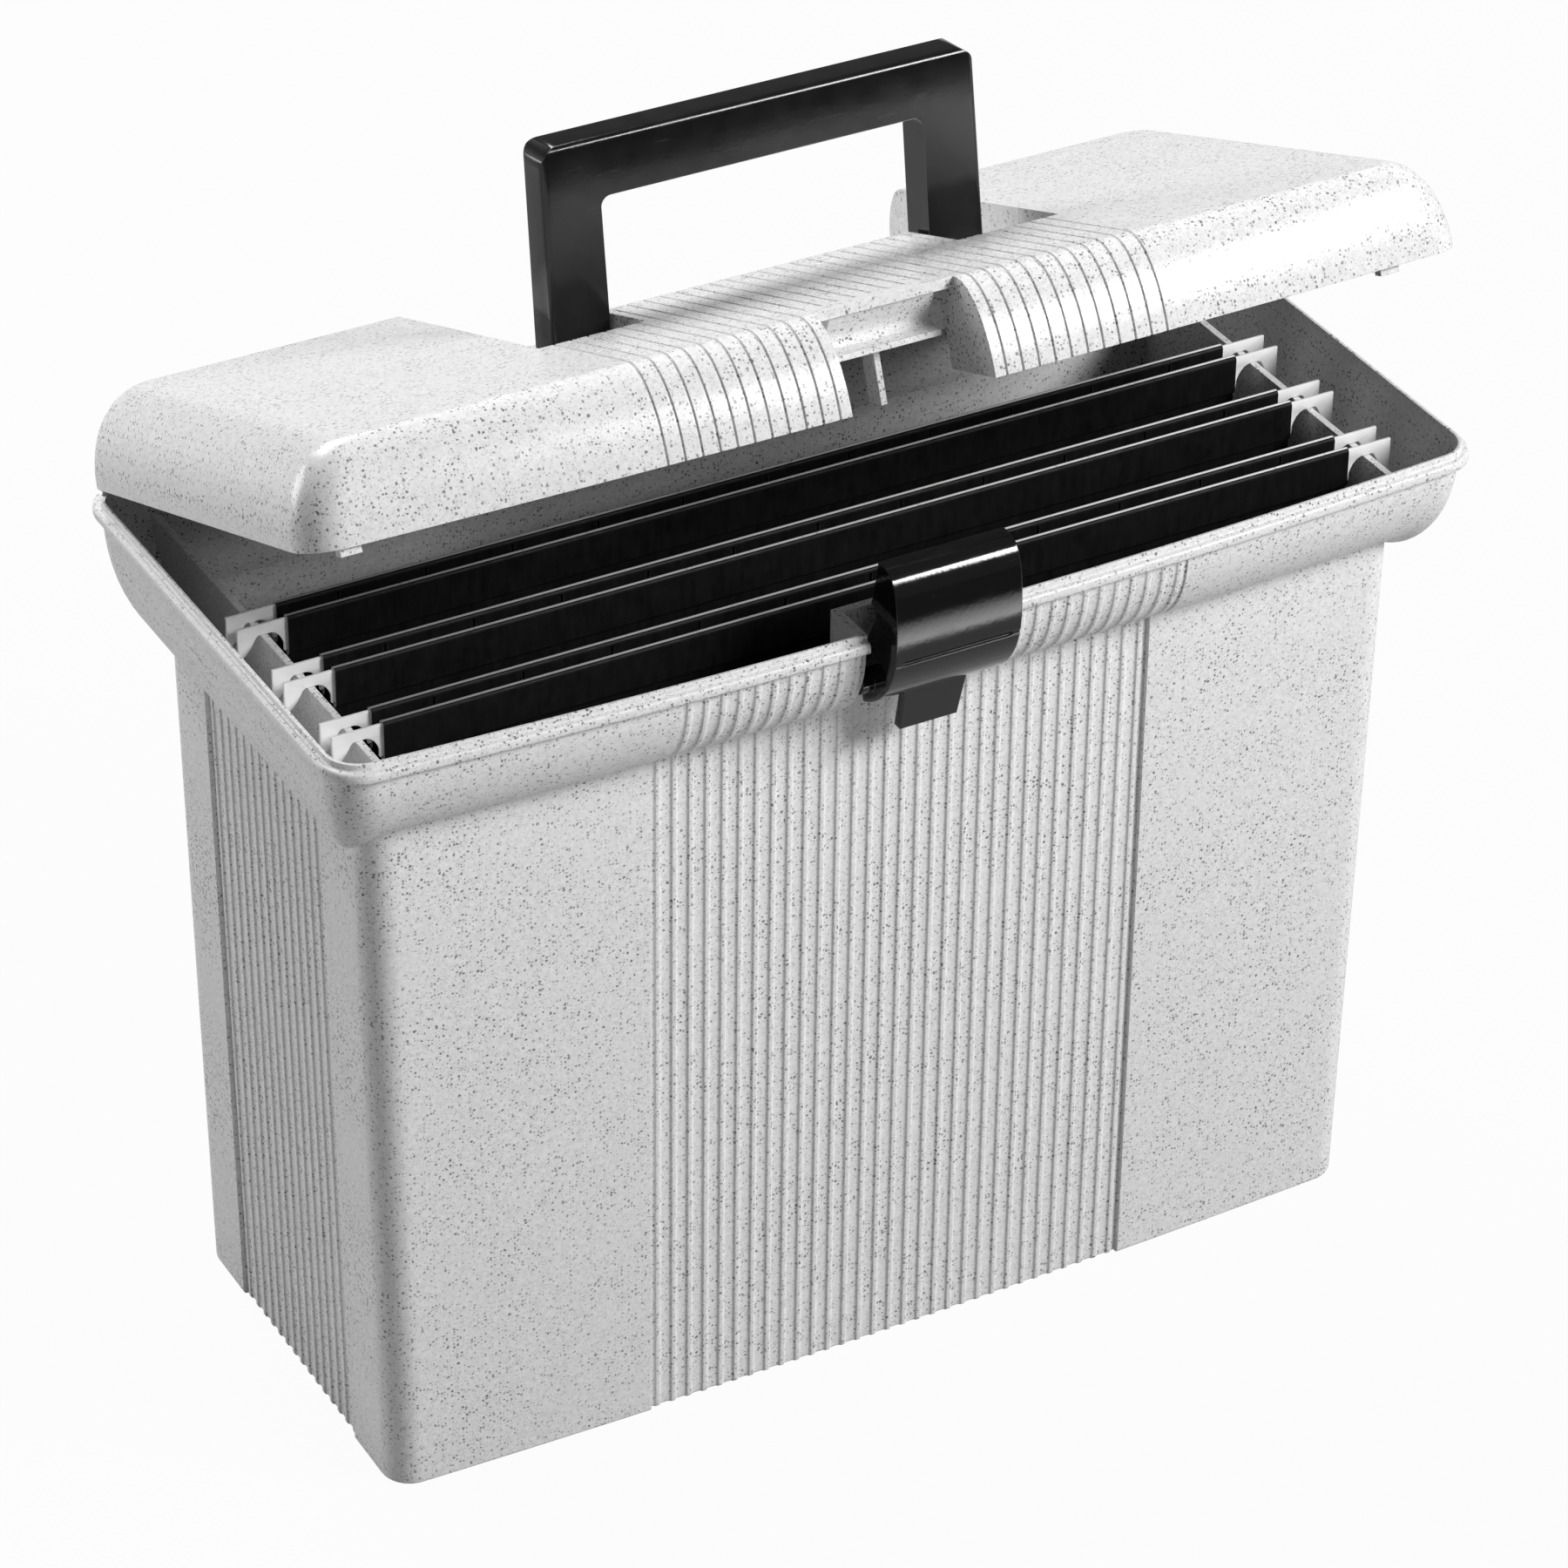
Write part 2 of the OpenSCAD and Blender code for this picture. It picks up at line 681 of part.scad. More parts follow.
module handle_upright() {
    difference() {
        intersection() {
            along_y(handle_thick + 2) handle_outline();
            along_x(handle_length + 2) union() {
                circle(r = handle_thick / 2, $fn = 48);
                soft_square(handle_thick, handle_reach, handle_edge);
            }
            handle_flank(-1);
            handle_flank(1);
        }
        rotate([0, 90, 0])
            cylinder(r = pin_r + pin_play, h = handle_length + 10, center = true, $fn = 48);
    }
}

module handle() {
    color(black_plastic) on_lid()
        translate([0, handle_pivot_y, handle_pivot_z])
            rotate([handle_lean, 0, 0])
                handle_upright();
}

// Pin from the side of the ribbed top through a leg into its ear
module handle_pin(side) {
    start = plateau_x - wall + 0.3;
    end = ear_x + ear_wall - 0.3;
    color(steel) on_lid()
        bar_x(pin_r, end - start, handle_pivot_y, handle_pivot_z, side * (start + end) / 2);
}

// Points on the latch's curve round its centre
function latch_arc(r, from, to, step) = [for (a = [from:step:to])
    [latch_cy + r * cos(a), latch_cz + r * sin(a)]];

module latch_skin() {
    r = latch_radius;
    w = latch_wall;
    top = latch_cz + 21.4;
    polygon(concat(
        latch_arc(r, 248, 165, -8.3),
        [[latch_cy - r + 1.7, latch_cz + 14.5], [latch_cy - r + 3.9, top - 1.8],
         [latch_cy - r + 5.3, top - 0.2], [latch_cy - 16.6, top]],
        [[latch_cy - 16.6, top - 0.8 - w], [latch_cy - 20.4, top - 1.4 - w],
         [latch_cy - r + 4.4, latch_cz + 13]],
        latch_arc(r - w, 165, 248, 8.3)
    ));
}

module latch_cheek() {
    r = latch_radius;
    difference() {
        union() {
            polygon(concat(
                latch_arc(r - 0.2, 248, 165, -8.3),
                [[latch_cy - r + 1.9, latch_cz + 14.5], [latch_cy - r + 4.1, latch_cz + 19.6],
                 [latch_cy - 16.7, latch_cz + 21.2], [latch_cy - 14.8, latch_cz + 12],
                 [latch_cy - 13.4, latch_cz + 7], [latch_cy - 16, latch_cz + 5.6],
                 [latch_cy - 15.8, latch_cz + 3], [latch_cy - 10.2, latch_cz - 8]]
            ));
            translate([latch_pivot_y, latch_pivot_z]) circle(r = latch_boss, $fn = 48);
        }
        translate([latch_pivot_y, latch_pivot_z]) circle(r = pin_r + pin_play, $fn = 48);
    }
}

module latch() {
    half = latch_width / 2;
    color(black_plastic) {
        difference() {
            along_x(latch_width) latch_skin();
            // Line moulded across the face
            translate([0, latch_cy + latch_radius * cos(191), latch_cz + latch_radius * sin(191)])
                rotate([11, 0, 0]) cube([latch_width + 2, 1.6, 0.8], center = true);
        }
        for (side = [-1, 1])
            translate([side * (half - latch_side / 2), 0, 0]) along_x(latch_side) latch_cheek();
        // Finger tab under the curved face
        translate([0, latch_pivot_y - 1.2, 0]) along_y(2.6) polygon([
            [-10.8, latch_pivot_z - 5.5], [10.8, latch_pivot_z - 5.5], [10.8, latch_pivot_z - 9],
            [9, latch_pivot_z - 19.3], [-9, latch_pivot_z - 19.3], [-10.8, latch_pivot_z - 9]
        ]);
    }
}

module latch_pin() {
    color(steel)
        bar_x(pin_r, rim_notch_width + 2 * notch_wall - 1.4, latch_pivot_y, latch_pivot_z);
}

module hinge_pin(side) {
    color(steel)
        bar_x(pin_r, lid_knuckle + 2 * tub_knuckle + 2 * knuckle_gap, hinge_y, hinge_z,
            side * hinge_x);
}

function folder_y(i) = front_folder_y + i * folder_pitch;

// One face of a folder's sheet, from the top of a hem down to the fold and up
// again; k is 1 for the outer face and -1 for the inner one
function sheet_face(k) =
    let (half = folder_spread / 2, hem_z = paper_top - hem_height, r = fold_half + k * paper / 2)
    concat(
        [[half + k * hem_width / 2, paper_top],
         [half + k * hem_width / 2, hem_z],
         [half + k * paper / 2, hem_z]],
        [for (a = [0:-15:-180]) [r * cos(a), fold_z + r * sin(a)]],
        [[-half - k * paper / 2, hem_z],
         [-half - k * hem_width / 2, hem_z],
         [-half - k * hem_width / 2, paper_top]]
    );

function reversed(list) = [for (i = [len(list) - 1:-1:0]) list[i]];

// Folded sheet of a folder: a hem round each rod and two panels down to the fold
module sleeve(i) {
    half = folder_spread / 2;
    color(black_paper) translate([0, folder_y(i), 0]) difference() {
        along_x(paper_width) polygon(concat(sheet_face(1), reversed(sheet_face(-1))));
        // The hollows of the two hems
        for (side = [-1, 1])
            translate([0, side * half, 0]) along_x(paper_width + slop)
                translate([paper - hem_width / 2, paper_top - hem_height + paper])
                    square([hem_width - 2 * paper, hem_height - 2 * paper]);
        // Slots for index tabs in the front layer of the back hem
        for (k = [0:tab_slots - 1])
            translate([(k - (tab_slots - 1) / 2) * slot_pitch - slot_width / 2,
                half - hem_width / 2 - slop, paper_top - slot_top])
                cube([slot_width, slop + paper + 0.1, slot_height]);
    }
}

// Half outline of the arch of a hook, as [outward, down] from the rail's crown
hook_arch = [
    [6.9, 30], [6.9, 6.4], [5.2, 4.9], [3.9, 3.3], [3, 1.5], [2.4, 0.5], [1.7, 0],
    [-1.9, 0], [-3.2, 0.5], [-4.4, 1.7], [-5.2, 3.1], [-5.7, 4.4], [-5.7, 30]
];

// Flat rod with a hooked plate at each end; side is -1 for the front rod
module rod(i, side) {
    y = folder_y(i) + side * folder_spread / 2;
    low = rod_top - rod_height;
    color(white_coat) translate([0, y, 0]) along_y(rod_wall) difference() {
        translate([-rod_length / 2, low]) square([rod_length, rod_height]);
        for (end = [-1, 1])
            polygon([for (p = hook_arch) [end * (rail_x + p[0]), rail_top + seat_gap - p[1]]]);
    }
}

tub();
lid();
handle();
handle_pin(-1);  // handle_pin_left
handle_pin(1);  // handle_pin_right
latch();
latch_pin();
hinge_pin(-1);  // hinge_pin_left
hinge_pin(1);  // hinge_pin_right
sleeve(0);  // sleeve_front
rod(0, -1);  // rod_front_a
rod(0, 1);  // rod_front_b
sleeve(1);  // sleeve_middle
rod(1, -1);  // rod_middle_a
rod(1, 1);  // rod_middle_b
sleeve(2);  // sleeve_back
rod(2, -1);  // rod_back_a
rod(2, 1);  // rod_back_b
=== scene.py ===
"""Looks of the portable box for hanging folders: a granite plastic tub and lid, a
black handle and latch, and three black folders on white rods."""

import math

import bmesh
import bpy
from mathutils import Matrix, Vector


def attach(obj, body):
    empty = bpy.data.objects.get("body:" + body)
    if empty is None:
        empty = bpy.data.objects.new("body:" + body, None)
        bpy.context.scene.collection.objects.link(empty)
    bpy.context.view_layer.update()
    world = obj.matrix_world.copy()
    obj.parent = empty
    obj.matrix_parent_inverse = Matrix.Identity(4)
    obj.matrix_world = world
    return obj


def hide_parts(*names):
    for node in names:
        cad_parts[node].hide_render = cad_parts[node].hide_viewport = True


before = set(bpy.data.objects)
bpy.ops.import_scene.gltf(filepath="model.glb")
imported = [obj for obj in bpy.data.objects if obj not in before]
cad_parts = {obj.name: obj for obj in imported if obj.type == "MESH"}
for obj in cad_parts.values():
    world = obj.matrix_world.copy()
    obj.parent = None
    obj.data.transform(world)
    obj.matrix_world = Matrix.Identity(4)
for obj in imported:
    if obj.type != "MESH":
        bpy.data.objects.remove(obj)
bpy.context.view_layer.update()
scene = bpy.context.scene

# Millimetres to metres: the pieces are drawn in millimetres
MM = 0.001

# Tub: half lengths and half depths at the ledge, under the flare and at the foot
LEDGE_X, LEDGE_Y = 175.5, 82.0
WALL_X, WALL_Y = 160.2, 64.6
FOOT_X, FOOT_Y = 157.2, 63.8
# Heights of the lip, the ledge and the flare's top, and of its crease on a side and an end
RIM_Z, LEDGE_Z, FLARE_TOP = 255.7, 253.9, 250.2
SIDE_CREASE, END_CREASE = 224.7, 216.9
# How far the front bows out at its middle, at the foot and at the ledge
WALL_BOW, LEDGE_BOW = 3, 5.5
# Corner radii of the walls and of the ledge, and what a millimetre of inset takes off them
WALL_CORNER, LEDGE_CORNER, CORNER_SHARE = 9, 12, 0.9
WALL, FLOOR_TOP, FOOT_ROUND = 2.5, 3, 1.2
# The ledge stands this far out of the flare, and the lip's faces this far in from the ledge
BEAD_STEP, LIP_OUT, LIP_IN = 2.0, 2.0, 3.2
# Angles of the flare's levels, from the crease up
FLARE_STEPS = (4, 8, 13, 19, 26, 33, 41, 49, 57, 65, 73, 81, 90)

# Ribbed panels: rib pitch, land between two flutes, depths of the panel and of a flute,
# and how much the wall is thickened behind them
PITCH, LAND, SINK, FLUTE, BACKING = 5.0, 1.3, 0.8, 0.6, 1.2
FLARE_FLUTE = 0.8 * FLUTE
FRONT_RIBS, END_RIBS = 31, 15

# Rails on their shelves, and the notch for the latch
RAIL_X, RAIL_TOP, RAIL, RAIL_LENGTH, SHELF = 155.6, 244.4, 2.0, 164, 12
NOTCH_X, NOTCH_Y, NOTCH_Z = 22.8, -72.4, 224.9

# Hinge: its axis, the middles of its two groups, the knuckles and their gaps
HINGE_Y, HINGE_Z, HINGE_X, LID_OPEN = 81.0, 254.2, 109.863, 21.0
KNUCKLE, LID_KNUCKLE, TUB_KNUCKLE, GAP = 3.5, 24.0, 12.0, 0.4
KNUCKLE_STEP = (LID_KNUCKLE + TUB_KNUCKLE + 2 * GAP) / 2
# The lid's back edge turns into the lip between these two places
BACK_GAP = (71, 77)
# Pins: their radius, their play, and how long the bores are that hold them fast
PIN, PLAY = 1.5, 0.06
HINGE_BORE, LATCH_BORE, HANDLE_BORE, HANDLE_BORE_X = 80, 49.6, 43.7, 58.15

# Lid, closed: half length, half depth, lower edge, height, and lean of its two long sides
LID_X, LID_Y, LID_Z, LID_HEIGHT = 174.3, 79.5, 256.0, 26.1
LID_TOP = LID_Z + LID_HEIGHT
FRONT_LEAN, BACK_LEAN, END_DRAW = 9.5, 13, 16.5
# The sunk place for the handle, its leg pockets, and the edge where the ribs end
RECESS_X, RECESS_Z, RIB_EDGE, POCKET_X, POCKET_Y = 79.5, 262.5, 3.6, 47.8, -25.0
# The opening over the latch, its lining, and the crest that the latch snaps under
CATCH_X, LINING, CREST_Y, TONGUE = 21.5, 2, -70.0, 31.6
# Grooves between the lid's ribs
GROOVE, GROOVE_DEPTH = 0.8, 0.55
# The handle's pivot and the ears round its pins
PIVOT_Y, PIVOT_Z, EAR_X, EAR, EAR_WIDTH = 3.1, 269.5, 70.5, 6, 4
# The locating nubs stand unevenly: half their distance, and how far both lie to the left
NUB_X, NUB_SHIFT = 155.8, 6.4
FIN = 1.8

# Latch: its pivot, the middle and radius of its face's arc, and its cheeks
LATCH_Y, LATCH_Z = -80.0, 237.7
FACE_Y, FACE_Z, FACE = LATCH_Y + 13, LATCH_Z + 17, 27.5
LATCH_WIDTH, CHEEK, CHEEK_X = 38, 2.38, 17.8
# How far back and up the crown's points lie from the front of the face's arc
CROWN = ((0, 0), (0.04, 4), (0.2, 8), (0.55, 11), (1.2, 14.5), (2.1, 17), (3.1, 18.8),
         (4.3, 20.2), (5.6, 20.95), (7.2, 21.3), (10.9, 21.4))
# The finger tab's share of lean, from its root down
TAB_LEAN = 0.25

# Folders: the front one's place, the step to the next, paper, hems and the fold below
FOLDER_Y, FOLDER_STEP = -49.4, 29.3
PAPER_WIDTH, PAPER_TOP, PAPER = 298, 248.6, 0.6
HEM, HEM_Z, HEM_ROUND, HALF_SPREAD = 2.5, 236.8, 1.1, 3.6
FOLD, FOLD_Z = 1.6, 14.5
SLOTS, SLOT_STEP, SLOT_ROUND, SLOT_TOP, SLOT_LOW = 11, 26.2, 0.675, 1.975, 5.8
# Rods: thickness, height, top below the paper's, reach past the rail, and play over it
ROD, ROD_HEIGHT, ROD_TOP, HOOK_REACH, HOOK_PLAY = 0.9, 10, 0.7, 7.8, 0.3
ROD_EDGE = 0.12

# Places beyond the box, where a cut may end
FRONT_OUT, BACK_OUT, ABOVE = -120, 104, 330


# Camera
def place_camera():
    """The photograph's view: a long lens, above and to the left of the front."""
    azimuth, elevation, roll = (math.radians(a) for a in (-29.14, 33.6, 0.63))
    back = Vector((math.sin(azimuth) * math.cos(elevation),
                   -math.cos(azimuth) * math.cos(elevation), math.sin(elevation)))
    level = Vector((math.cos(azimuth), math.sin(azimuth), 0))
    up = back.cross(level)
    right = level * math.cos(roll) + up * math.sin(roll)
    up = up * math.cos(roll) - level * math.sin(roll)
    data = bpy.data.cameras.new("camera")
    camera = bpy.data.objects.new("camera", data)
    scene.collection.objects.link(camera)
    camera.matrix_world = Matrix.Translation((-0.7107, -1.2741, 1.1210)) @ \
        Matrix((right, up, back)).transposed().to_4x4()
    data.sensor_width, data.lens = 36, 141.72
    data.shift_x, data.shift_y = 2 / 1800, -1 / 1800
    data.clip_start = 0.05
    scene.camera = camera


# Materials
class Finish:
    """A node material, with short ways to add nodes to it."""

    def __init__(self, name):
        self.material = bpy.data.materials.new(name)
        self.material.use_nodes = True
        self.nodes = self.material.node_tree.nodes
        self.links = self.material.node_tree.links
        self.shader = self.nodes["Principled BSDF"]
        self.coords = self.nodes.new("ShaderNodeTexCoord").outputs
        self.place = self.coords["Object"]

    def set(self, **values):
        for name, value in values.items():
            self.shader.inputs[name.replace("_", " ")].default_value = value

    def link(self, source, target):
        self.links.new(source, target)

    def math(self, operation, a, b=0.0, c=0.0):
        node = self.nodes.new("ShaderNodeMath")
        node.operation = operation
        for socket, value in zip(node.inputs, (a, b, c)):
            if isinstance(value, (int, float)):
                socket.default_value = value
            else:
                self.link(value, socket)
        return node.outputs[0]

    def split(self, vector):
        """The X, Y and Z of a vector."""
        node = self.nodes.new("ShaderNodeSeparateXYZ")
        self.link(vector, node.inputs[0])
        return node.outputs

    def noise(self, scale, detail=2.0, roughness=0.5, place=None):
        node = self.nodes.new("ShaderNodeTexNoise")
        node.inputs["Scale"].default_value = scale
        node.inputs["Detail"].default_value = detail
        node.inputs["Roughness"].default_value = roughness
        self.link(place or self.place, node.inputs["Vector"])
        return node.outputs["Fac"]

    def stretched(self, x, y, z):
        """Object coordinates multiplied by a number for each axis."""
        node = self.nodes.new("ShaderNodeMapping")
        node.inputs["Scale"].default_value = (x, y, z)
        self.link(self.place, node.inputs["Vector"])
        return node.outputs["Vector"]

    def bent(self, scale, amount):
        """Object coordinates shaken by a noise, in metres."""
        node = self.nodes.new("ShaderNodeTexNoise")
        node.inputs["Scale"].default_value = scale
        self.link(self.place, node.inputs["Vector"])
        shake = self.nodes.new("ShaderNodeVectorMath")
        shake.operation = "MULTIPLY_ADD"
        self.link(node.outputs["Color"], shake.inputs[0])
        shake.inputs[1].default_value = (amount, amount, amount)
        self.link(self.place, shake.inputs[2])
        return shake.outputs[0]

    def specks(self, cell, radius, place):
        """1 inside grains of a random size, scattered a cell apart."""
        node = self.nodes.new("ShaderNodeTexVoronoi")
        node.inputs["Scale"].default_value = 1 / cell
        self.link(place, node.inputs["Vector"])
        pick = self.nodes.new("ShaderNodeSeparateColor")
        self.link(node.outputs["Color"], pick.inputs[0])
        size = self.math("MULTIPLY", self.math("POWER", pick.outputs[0], 1.1), radius / cell)
        inside = self.math("SUBTRACT", size, node.outputs["Distance"])
        return self.clamp(self.math("MULTIPLY", inside, cell / (0.25 * radius)))

    def clamp(self, value):
        node = self.nodes.new("ShaderNodeClamp")
        self.link(value, node.inputs[0])
        return node.outputs[0]

    def slope(self, value, rise, start):
        """value * rise + start, kept between 0 and 1."""
        return self.clamp(self.math("MULTIPLY_ADD", value, rise, start))

    def ramp(self, value, *stops):
        """A grey between stops, each a position and a level."""
        node = self.nodes.new("ShaderNodeValToRGB")
        for mark, (position, grey) in zip(node.color_ramp.elements, stops):
            mark.position = position
            mark.color = (grey, grey, grey, 1)
        self.link(value, node.inputs[0])
        return node.outputs[0]

    def mix(self, share, a, b):
        node = self.nodes.new("ShaderNodeMix")
        node.data_type = "RGBA"
        for socket, value in ((node.inputs[0], share), (node.inputs[6], a), (node.inputs[7], b)):
            if isinstance(value, tuple):
                socket.default_value = (*value, 1)
            else:
                self.link(value, socket)
        return node.outputs[2]

    def color(self, source):
        self.link(source, self.shader.inputs["Base Color"])

    def roughness(self, source):
        self.link(source, self.shader.inputs["Roughness"])

    def relief(self, height, distance, edge=0.0):
        """Bump of a height in metres, over edges rounded by a radius."""
        bump = self.nodes.new("ShaderNodeBump")
        bump.inputs["Distance"].default_value = distance
        self.link(height, bump.inputs["Height"])
        if edge:
            bevel = self.nodes.new("ShaderNodeBevel")
            bevel.samples = 6
            bevel.inputs["Radius"].default_value = edge
            self.link(bevel.outputs[0], bump.inputs["Normal"])
        self.link(bump.outputs[0], self.shader.inputs["Normal"])


def granite_finish(name, gloss, paleness):
    """Pale grey plastic with grains of darker grey moulded into it."""
    f = Finish(name)
    shaken = f.bent(1500, 0.9 * MM)
    coarse = f.specks(1.05 * MM, 0.5 * MM, shaken)
    fine = f.specks(0.6 * MM, 0.31 * MM, shaken)
    patch = f.ramp(f.noise(55, 3, 0.6), (0.35, 0.55), (0.65, 1.0))
    cloud = f.ramp(f.noise(650, 3, 0.7), (0.33, 0.86 * paleness), (0.67, 1.02 * paleness))
    dusted = f.mix(f.math("MULTIPLY", f.math("MULTIPLY", fine, 0.62), patch), cloud,
                   (0.27, 0.27, 0.275))
    f.color(f.mix(f.math("MULTIPLY", f.math("MULTIPLY", coarse, 0.9), patch), dusted,
                  (0.07, 0.07, 0.075)))
    f.roughness(f.ramp(f.noise(160, 3), (0.3, gloss), (0.7, gloss + 0.1)))
    f.relief(f.noise(1800, 2), 0.02 * MM, 0.3 * MM)
    return f.material


def black_plastic_finish(name, smooth, wear_and_painted_highlight):
    """Gloss black plastic with faint handling scratches, between two roughnesses."""
    f = Finish(name)
    scratch = f.math("GREATER_THAN", f.noise(1, 3, 0.5, f.stretched(90, 4000, 300)), 0.69)
    f.color(f.mix(f.math("MULTIPLY", scratch, 0.12), (0.006, 0.006, 0.0065), (0.08, 0.08, 0.08)))
    f.roughness(f.ramp(f.noise(120, 4), (0.3, smooth), (0.75, wear_and_painted_highlight)))
    f.relief(f.noise(700, 2), 0.015 * MM, 0.4 * MM)
    return f.material


def folder_finish():
    """Black pressed board, with a painted highlight along the crest of each hem, brightest at the right,
    the lamp's side.
    """
    f = Finish("folder_board")
    x, _, z = f.split(f.place)
    upward = f.split(f.coords["Normal"])[2]
    # Painted highlight: near-white colour on the hem's upward-facing crest, where the lamp's light falls
    crest = f.clamp(f.math("MULTIPLY", f.math("SUBTRACT", upward, 0.95), 60))
    high = f.math("GREATER_THAN", z, (PAPER_TOP - 0.8) * MM)
    # The painted highlight grows toward +X, the lamp's side, and noise breaks it into dots
    along = f.slope(x, 3.5, 0.55)
    highlight_breakup = f.slope(f.noise(1, 4, 0.7, f.stretched(420, 60, 60)), 6.0, -1.3)
    wear_and_painted_highlight = f.math("MULTIPLY", f.math("MULTIPLY", crest, high),
                    f.math("MULTIPLY", highlight_breakup, f.math("MULTIPLY_ADD", along, 0.8, 0.2)))
    board = f.ramp(f.noise(1, 4, 0.65, f.stretched(500, 500, 120)), (0.3, 0.003), (0.75, 0.009))
    f.set(Specular_IOR_Level=0.12)
    f.color(f.mix(wear_and_painted_highlight, board, (0.93, 0.93, 0.92)))
    f.roughness(f.ramp(f.noise(300, 3), (0.3, 0.42), (0.7, 0.6)))
    f.relief(f.noise(900, 4, 0.7), 0.03 * MM)
    return f.material


def cut_edge_finish():
    """Grey fibres where the folder's board is cut."""
    f = Finish("board_edge")
    f.color(f.ramp(f.noise(1500, 3), (0.3, 0.16), (0.7, 0.3)))
    f.roughness(f.ramp(f.noise(900, 2), (0.3, 0.6), (0.7, 0.8)))
    f.relief(f.noise(2500, 3), 0.02 * MM)
    return f.material


def rod_finish():
    """White coating, painted near-black as shade where the rod lies inside a hem."""
    f = Finish("white_coat")
    # Painted shade: near-black where the rod lies inside a hem, seen through the slots
    painted_shade_in_hem = f.math("LESS_THAN", f.math("ABSOLUTE", f.split(f.place)[0]),
                        (PAPER_WIDTH / 2 - 1.5) * MM)
    f.color(f.mix(painted_shade_in_hem, f.ramp(f.noise(220, 3), (0.3, 0.8), (0.7, 0.86)), (0.02, 0.02, 0.02)))
    f.roughness(f.ramp(f.noise(400, 2), (0.3, 0.3), (0.7, 0.42)))
    f.relief(f.noise(1500, 2), 0.01 * MM, 0.2 * MM)
    return f.material


def steel_finish():
    """Drawn steel, with faint lines along the pins."""
    f = Finish("pin_steel")
    f.set(Metallic=1.0)
    f.color(f.ramp(f.noise(1, 3, 0.5, f.stretched(200, 3000, 3000)), (0.3, 0.5), (0.7, 0.62)))
    f.roughness(f.ramp(f.noise(900, 2), (0.3, 0.22), (0.7, 0.34)))
    f.relief(f.noise(1, 2, 0.5, f.stretched(100, 4000, 4000)), 0.01 * MM)
    return f.material


# Simple shapes
def prism(mesh, outline, width, middle=0.0, along="x"):
    """A block from an outline in Y and Z (or X and Z), given a width along the other way."""
    low = middle - width / 2
    place = (lambda p: (low, *p)) if along == "x" else (lambda p: (p[0], low, p[1]))
    base = mesh.faces.new([mesh.verts.new(place(p)) for p in outline])
    pushed = bmesh.ops.extrude_face_region(mesh, geom=[base], use_keep_orig=True)["geom"]
    bmesh.ops.translate(mesh, vec=(width, 0, 0) if along == "x" else (0, width, 0),
                        verts=[v for v in pushed if isinstance(v, bmesh.types.BMVert)])


def box(mesh, low, high):
    """A block from its lowest to its highest corner."""
    middle = [(a + b) / 2 for a, b in zip(low, high)]
    size = [b - a for a, b in zip(low, high)]
    bmesh.ops.create_cube(mesh, size=1, matrix=Matrix.Translation(middle) @
                          Matrix.Diagonal((*size, 1)))


def bar(mesh, radius, length, y, z, x=0.0):
    """A round bar along X."""
    turn = Matrix.Rotation(math.pi / 2, 4, "Y")
    bmesh.ops.create_cone(mesh, cap_ends=True, segments=64, radius1=radius, radius2=radius,
                          depth=length, matrix=Matrix.Translation((x, y, z)) @ turn)


def reach(points, radius, middle, from_degrees, to_degrees, steps):
    """Adds an arc about a middle to a list of points."""
    for i in range(steps + 1):
        a = math.radians(from_degrees + (to_degrees - from_degrees) * i / steps)
        points.append((middle[0] + radius * math.cos(a), middle[1] + radius * math.sin(a)))


def solid(mesh):
    """An object from a mesh, with its faces turned outwards."""
    bmesh.ops.recalc_face_normals(mesh, faces=mesh.faces)
    data = bpy.data.meshes.new("solid")
    mesh.to_mesh(data)
    mesh.free()
    piece = bpy.data.objects.new("solid", data)
    scene.collection.objects.link(piece)
    return piece


def combine(piece, other, operation="DIFFERENCE"):
    """Cuts one solid by another, or joins them, and drops the other."""
    change = piece.modifiers.new("change", "BOOLEAN")
    change.operation, change.object, change.solver = operation, other, "EXACT"
    bpy.context.view_layer.update()
    graph = bpy.context.evaluated_depsgraph_get()
    data = bpy.data.meshes.new_from_object(piece.evaluated_get(graph))
    piece.modifiers.clear()
    old, piece.data = piece.data, data
    bpy.data.meshes.remove(old)
    spent = other.data
    bpy.data.objects.remove(other)
    bpy.data.meshes.remove(spent)
    return piece


# Lofts: rings of posts, each at its own height, joined level by level
def rib_section(count):
    """Across a ribbed panel: how far along, and 0 on a rib to 1 in a flute's middle."""
    half, edge, margin = (PITCH - LAND) / 2, count * PITCH / 2, 0.06
    curve = ((0, 1), (0.4, 0.98), (0.68, 0.9), (0.82, 0.74), (0.93, 0.36), (1.0, 0.08), (1.08, 0))
    curve = [(-u, d) for u, d in reversed(curve[1:])] + list(curve)
    marks = []
    for i in range(count + 1):
        for u, depth in curve:
            at = (i - count / 2) * PITCH + u * half
            if abs(at) < edge + 0.01:
                marks.append((max(margin - edge, min(edge - margin, at)), depth))
    return marks


def side_marks(count, plain):
    """Marks along a side: share of its length and a fixed part, sink and flute."""
    edge = count * PITCH / 2
    steps = [i / plain for i in range(plain + 1)]
    return [(f - 1, -f * edge, 0, 0) for f in steps] + \
        [(0, at, 1, depth) for at, depth in rib_section(count)] + \
        [(f, (1 - f) * edge, 0, 0) for f in steps]


def plain_marks(steps):
    return [(2 * i / steps - 1, 0, 0, 0) for i in range(steps + 1)]


def ring_posts(front, end, back, corner_steps):
    """Every post of a ring, anticlockwise from the left end of the front: its side,
    its mark, its share of the front's height and, in a corner, its angle."""
    posts = []
    for side, marks, share in ((0, front, 1), (1, end, 0), (2, back, 1), (3, end, 0)):
        posts += [(side, mark, share, None) for mark in marks]
        for i in range(1, corner_steps):
            angle = math.pi / 2 * i / corner_steps
            weight = math.cos(angle) ** 2 if side % 2 == 0 else math.sin(angle) ** 2
            posts.append((side, (0, 0, 0, 0), weight, angle))
    return posts


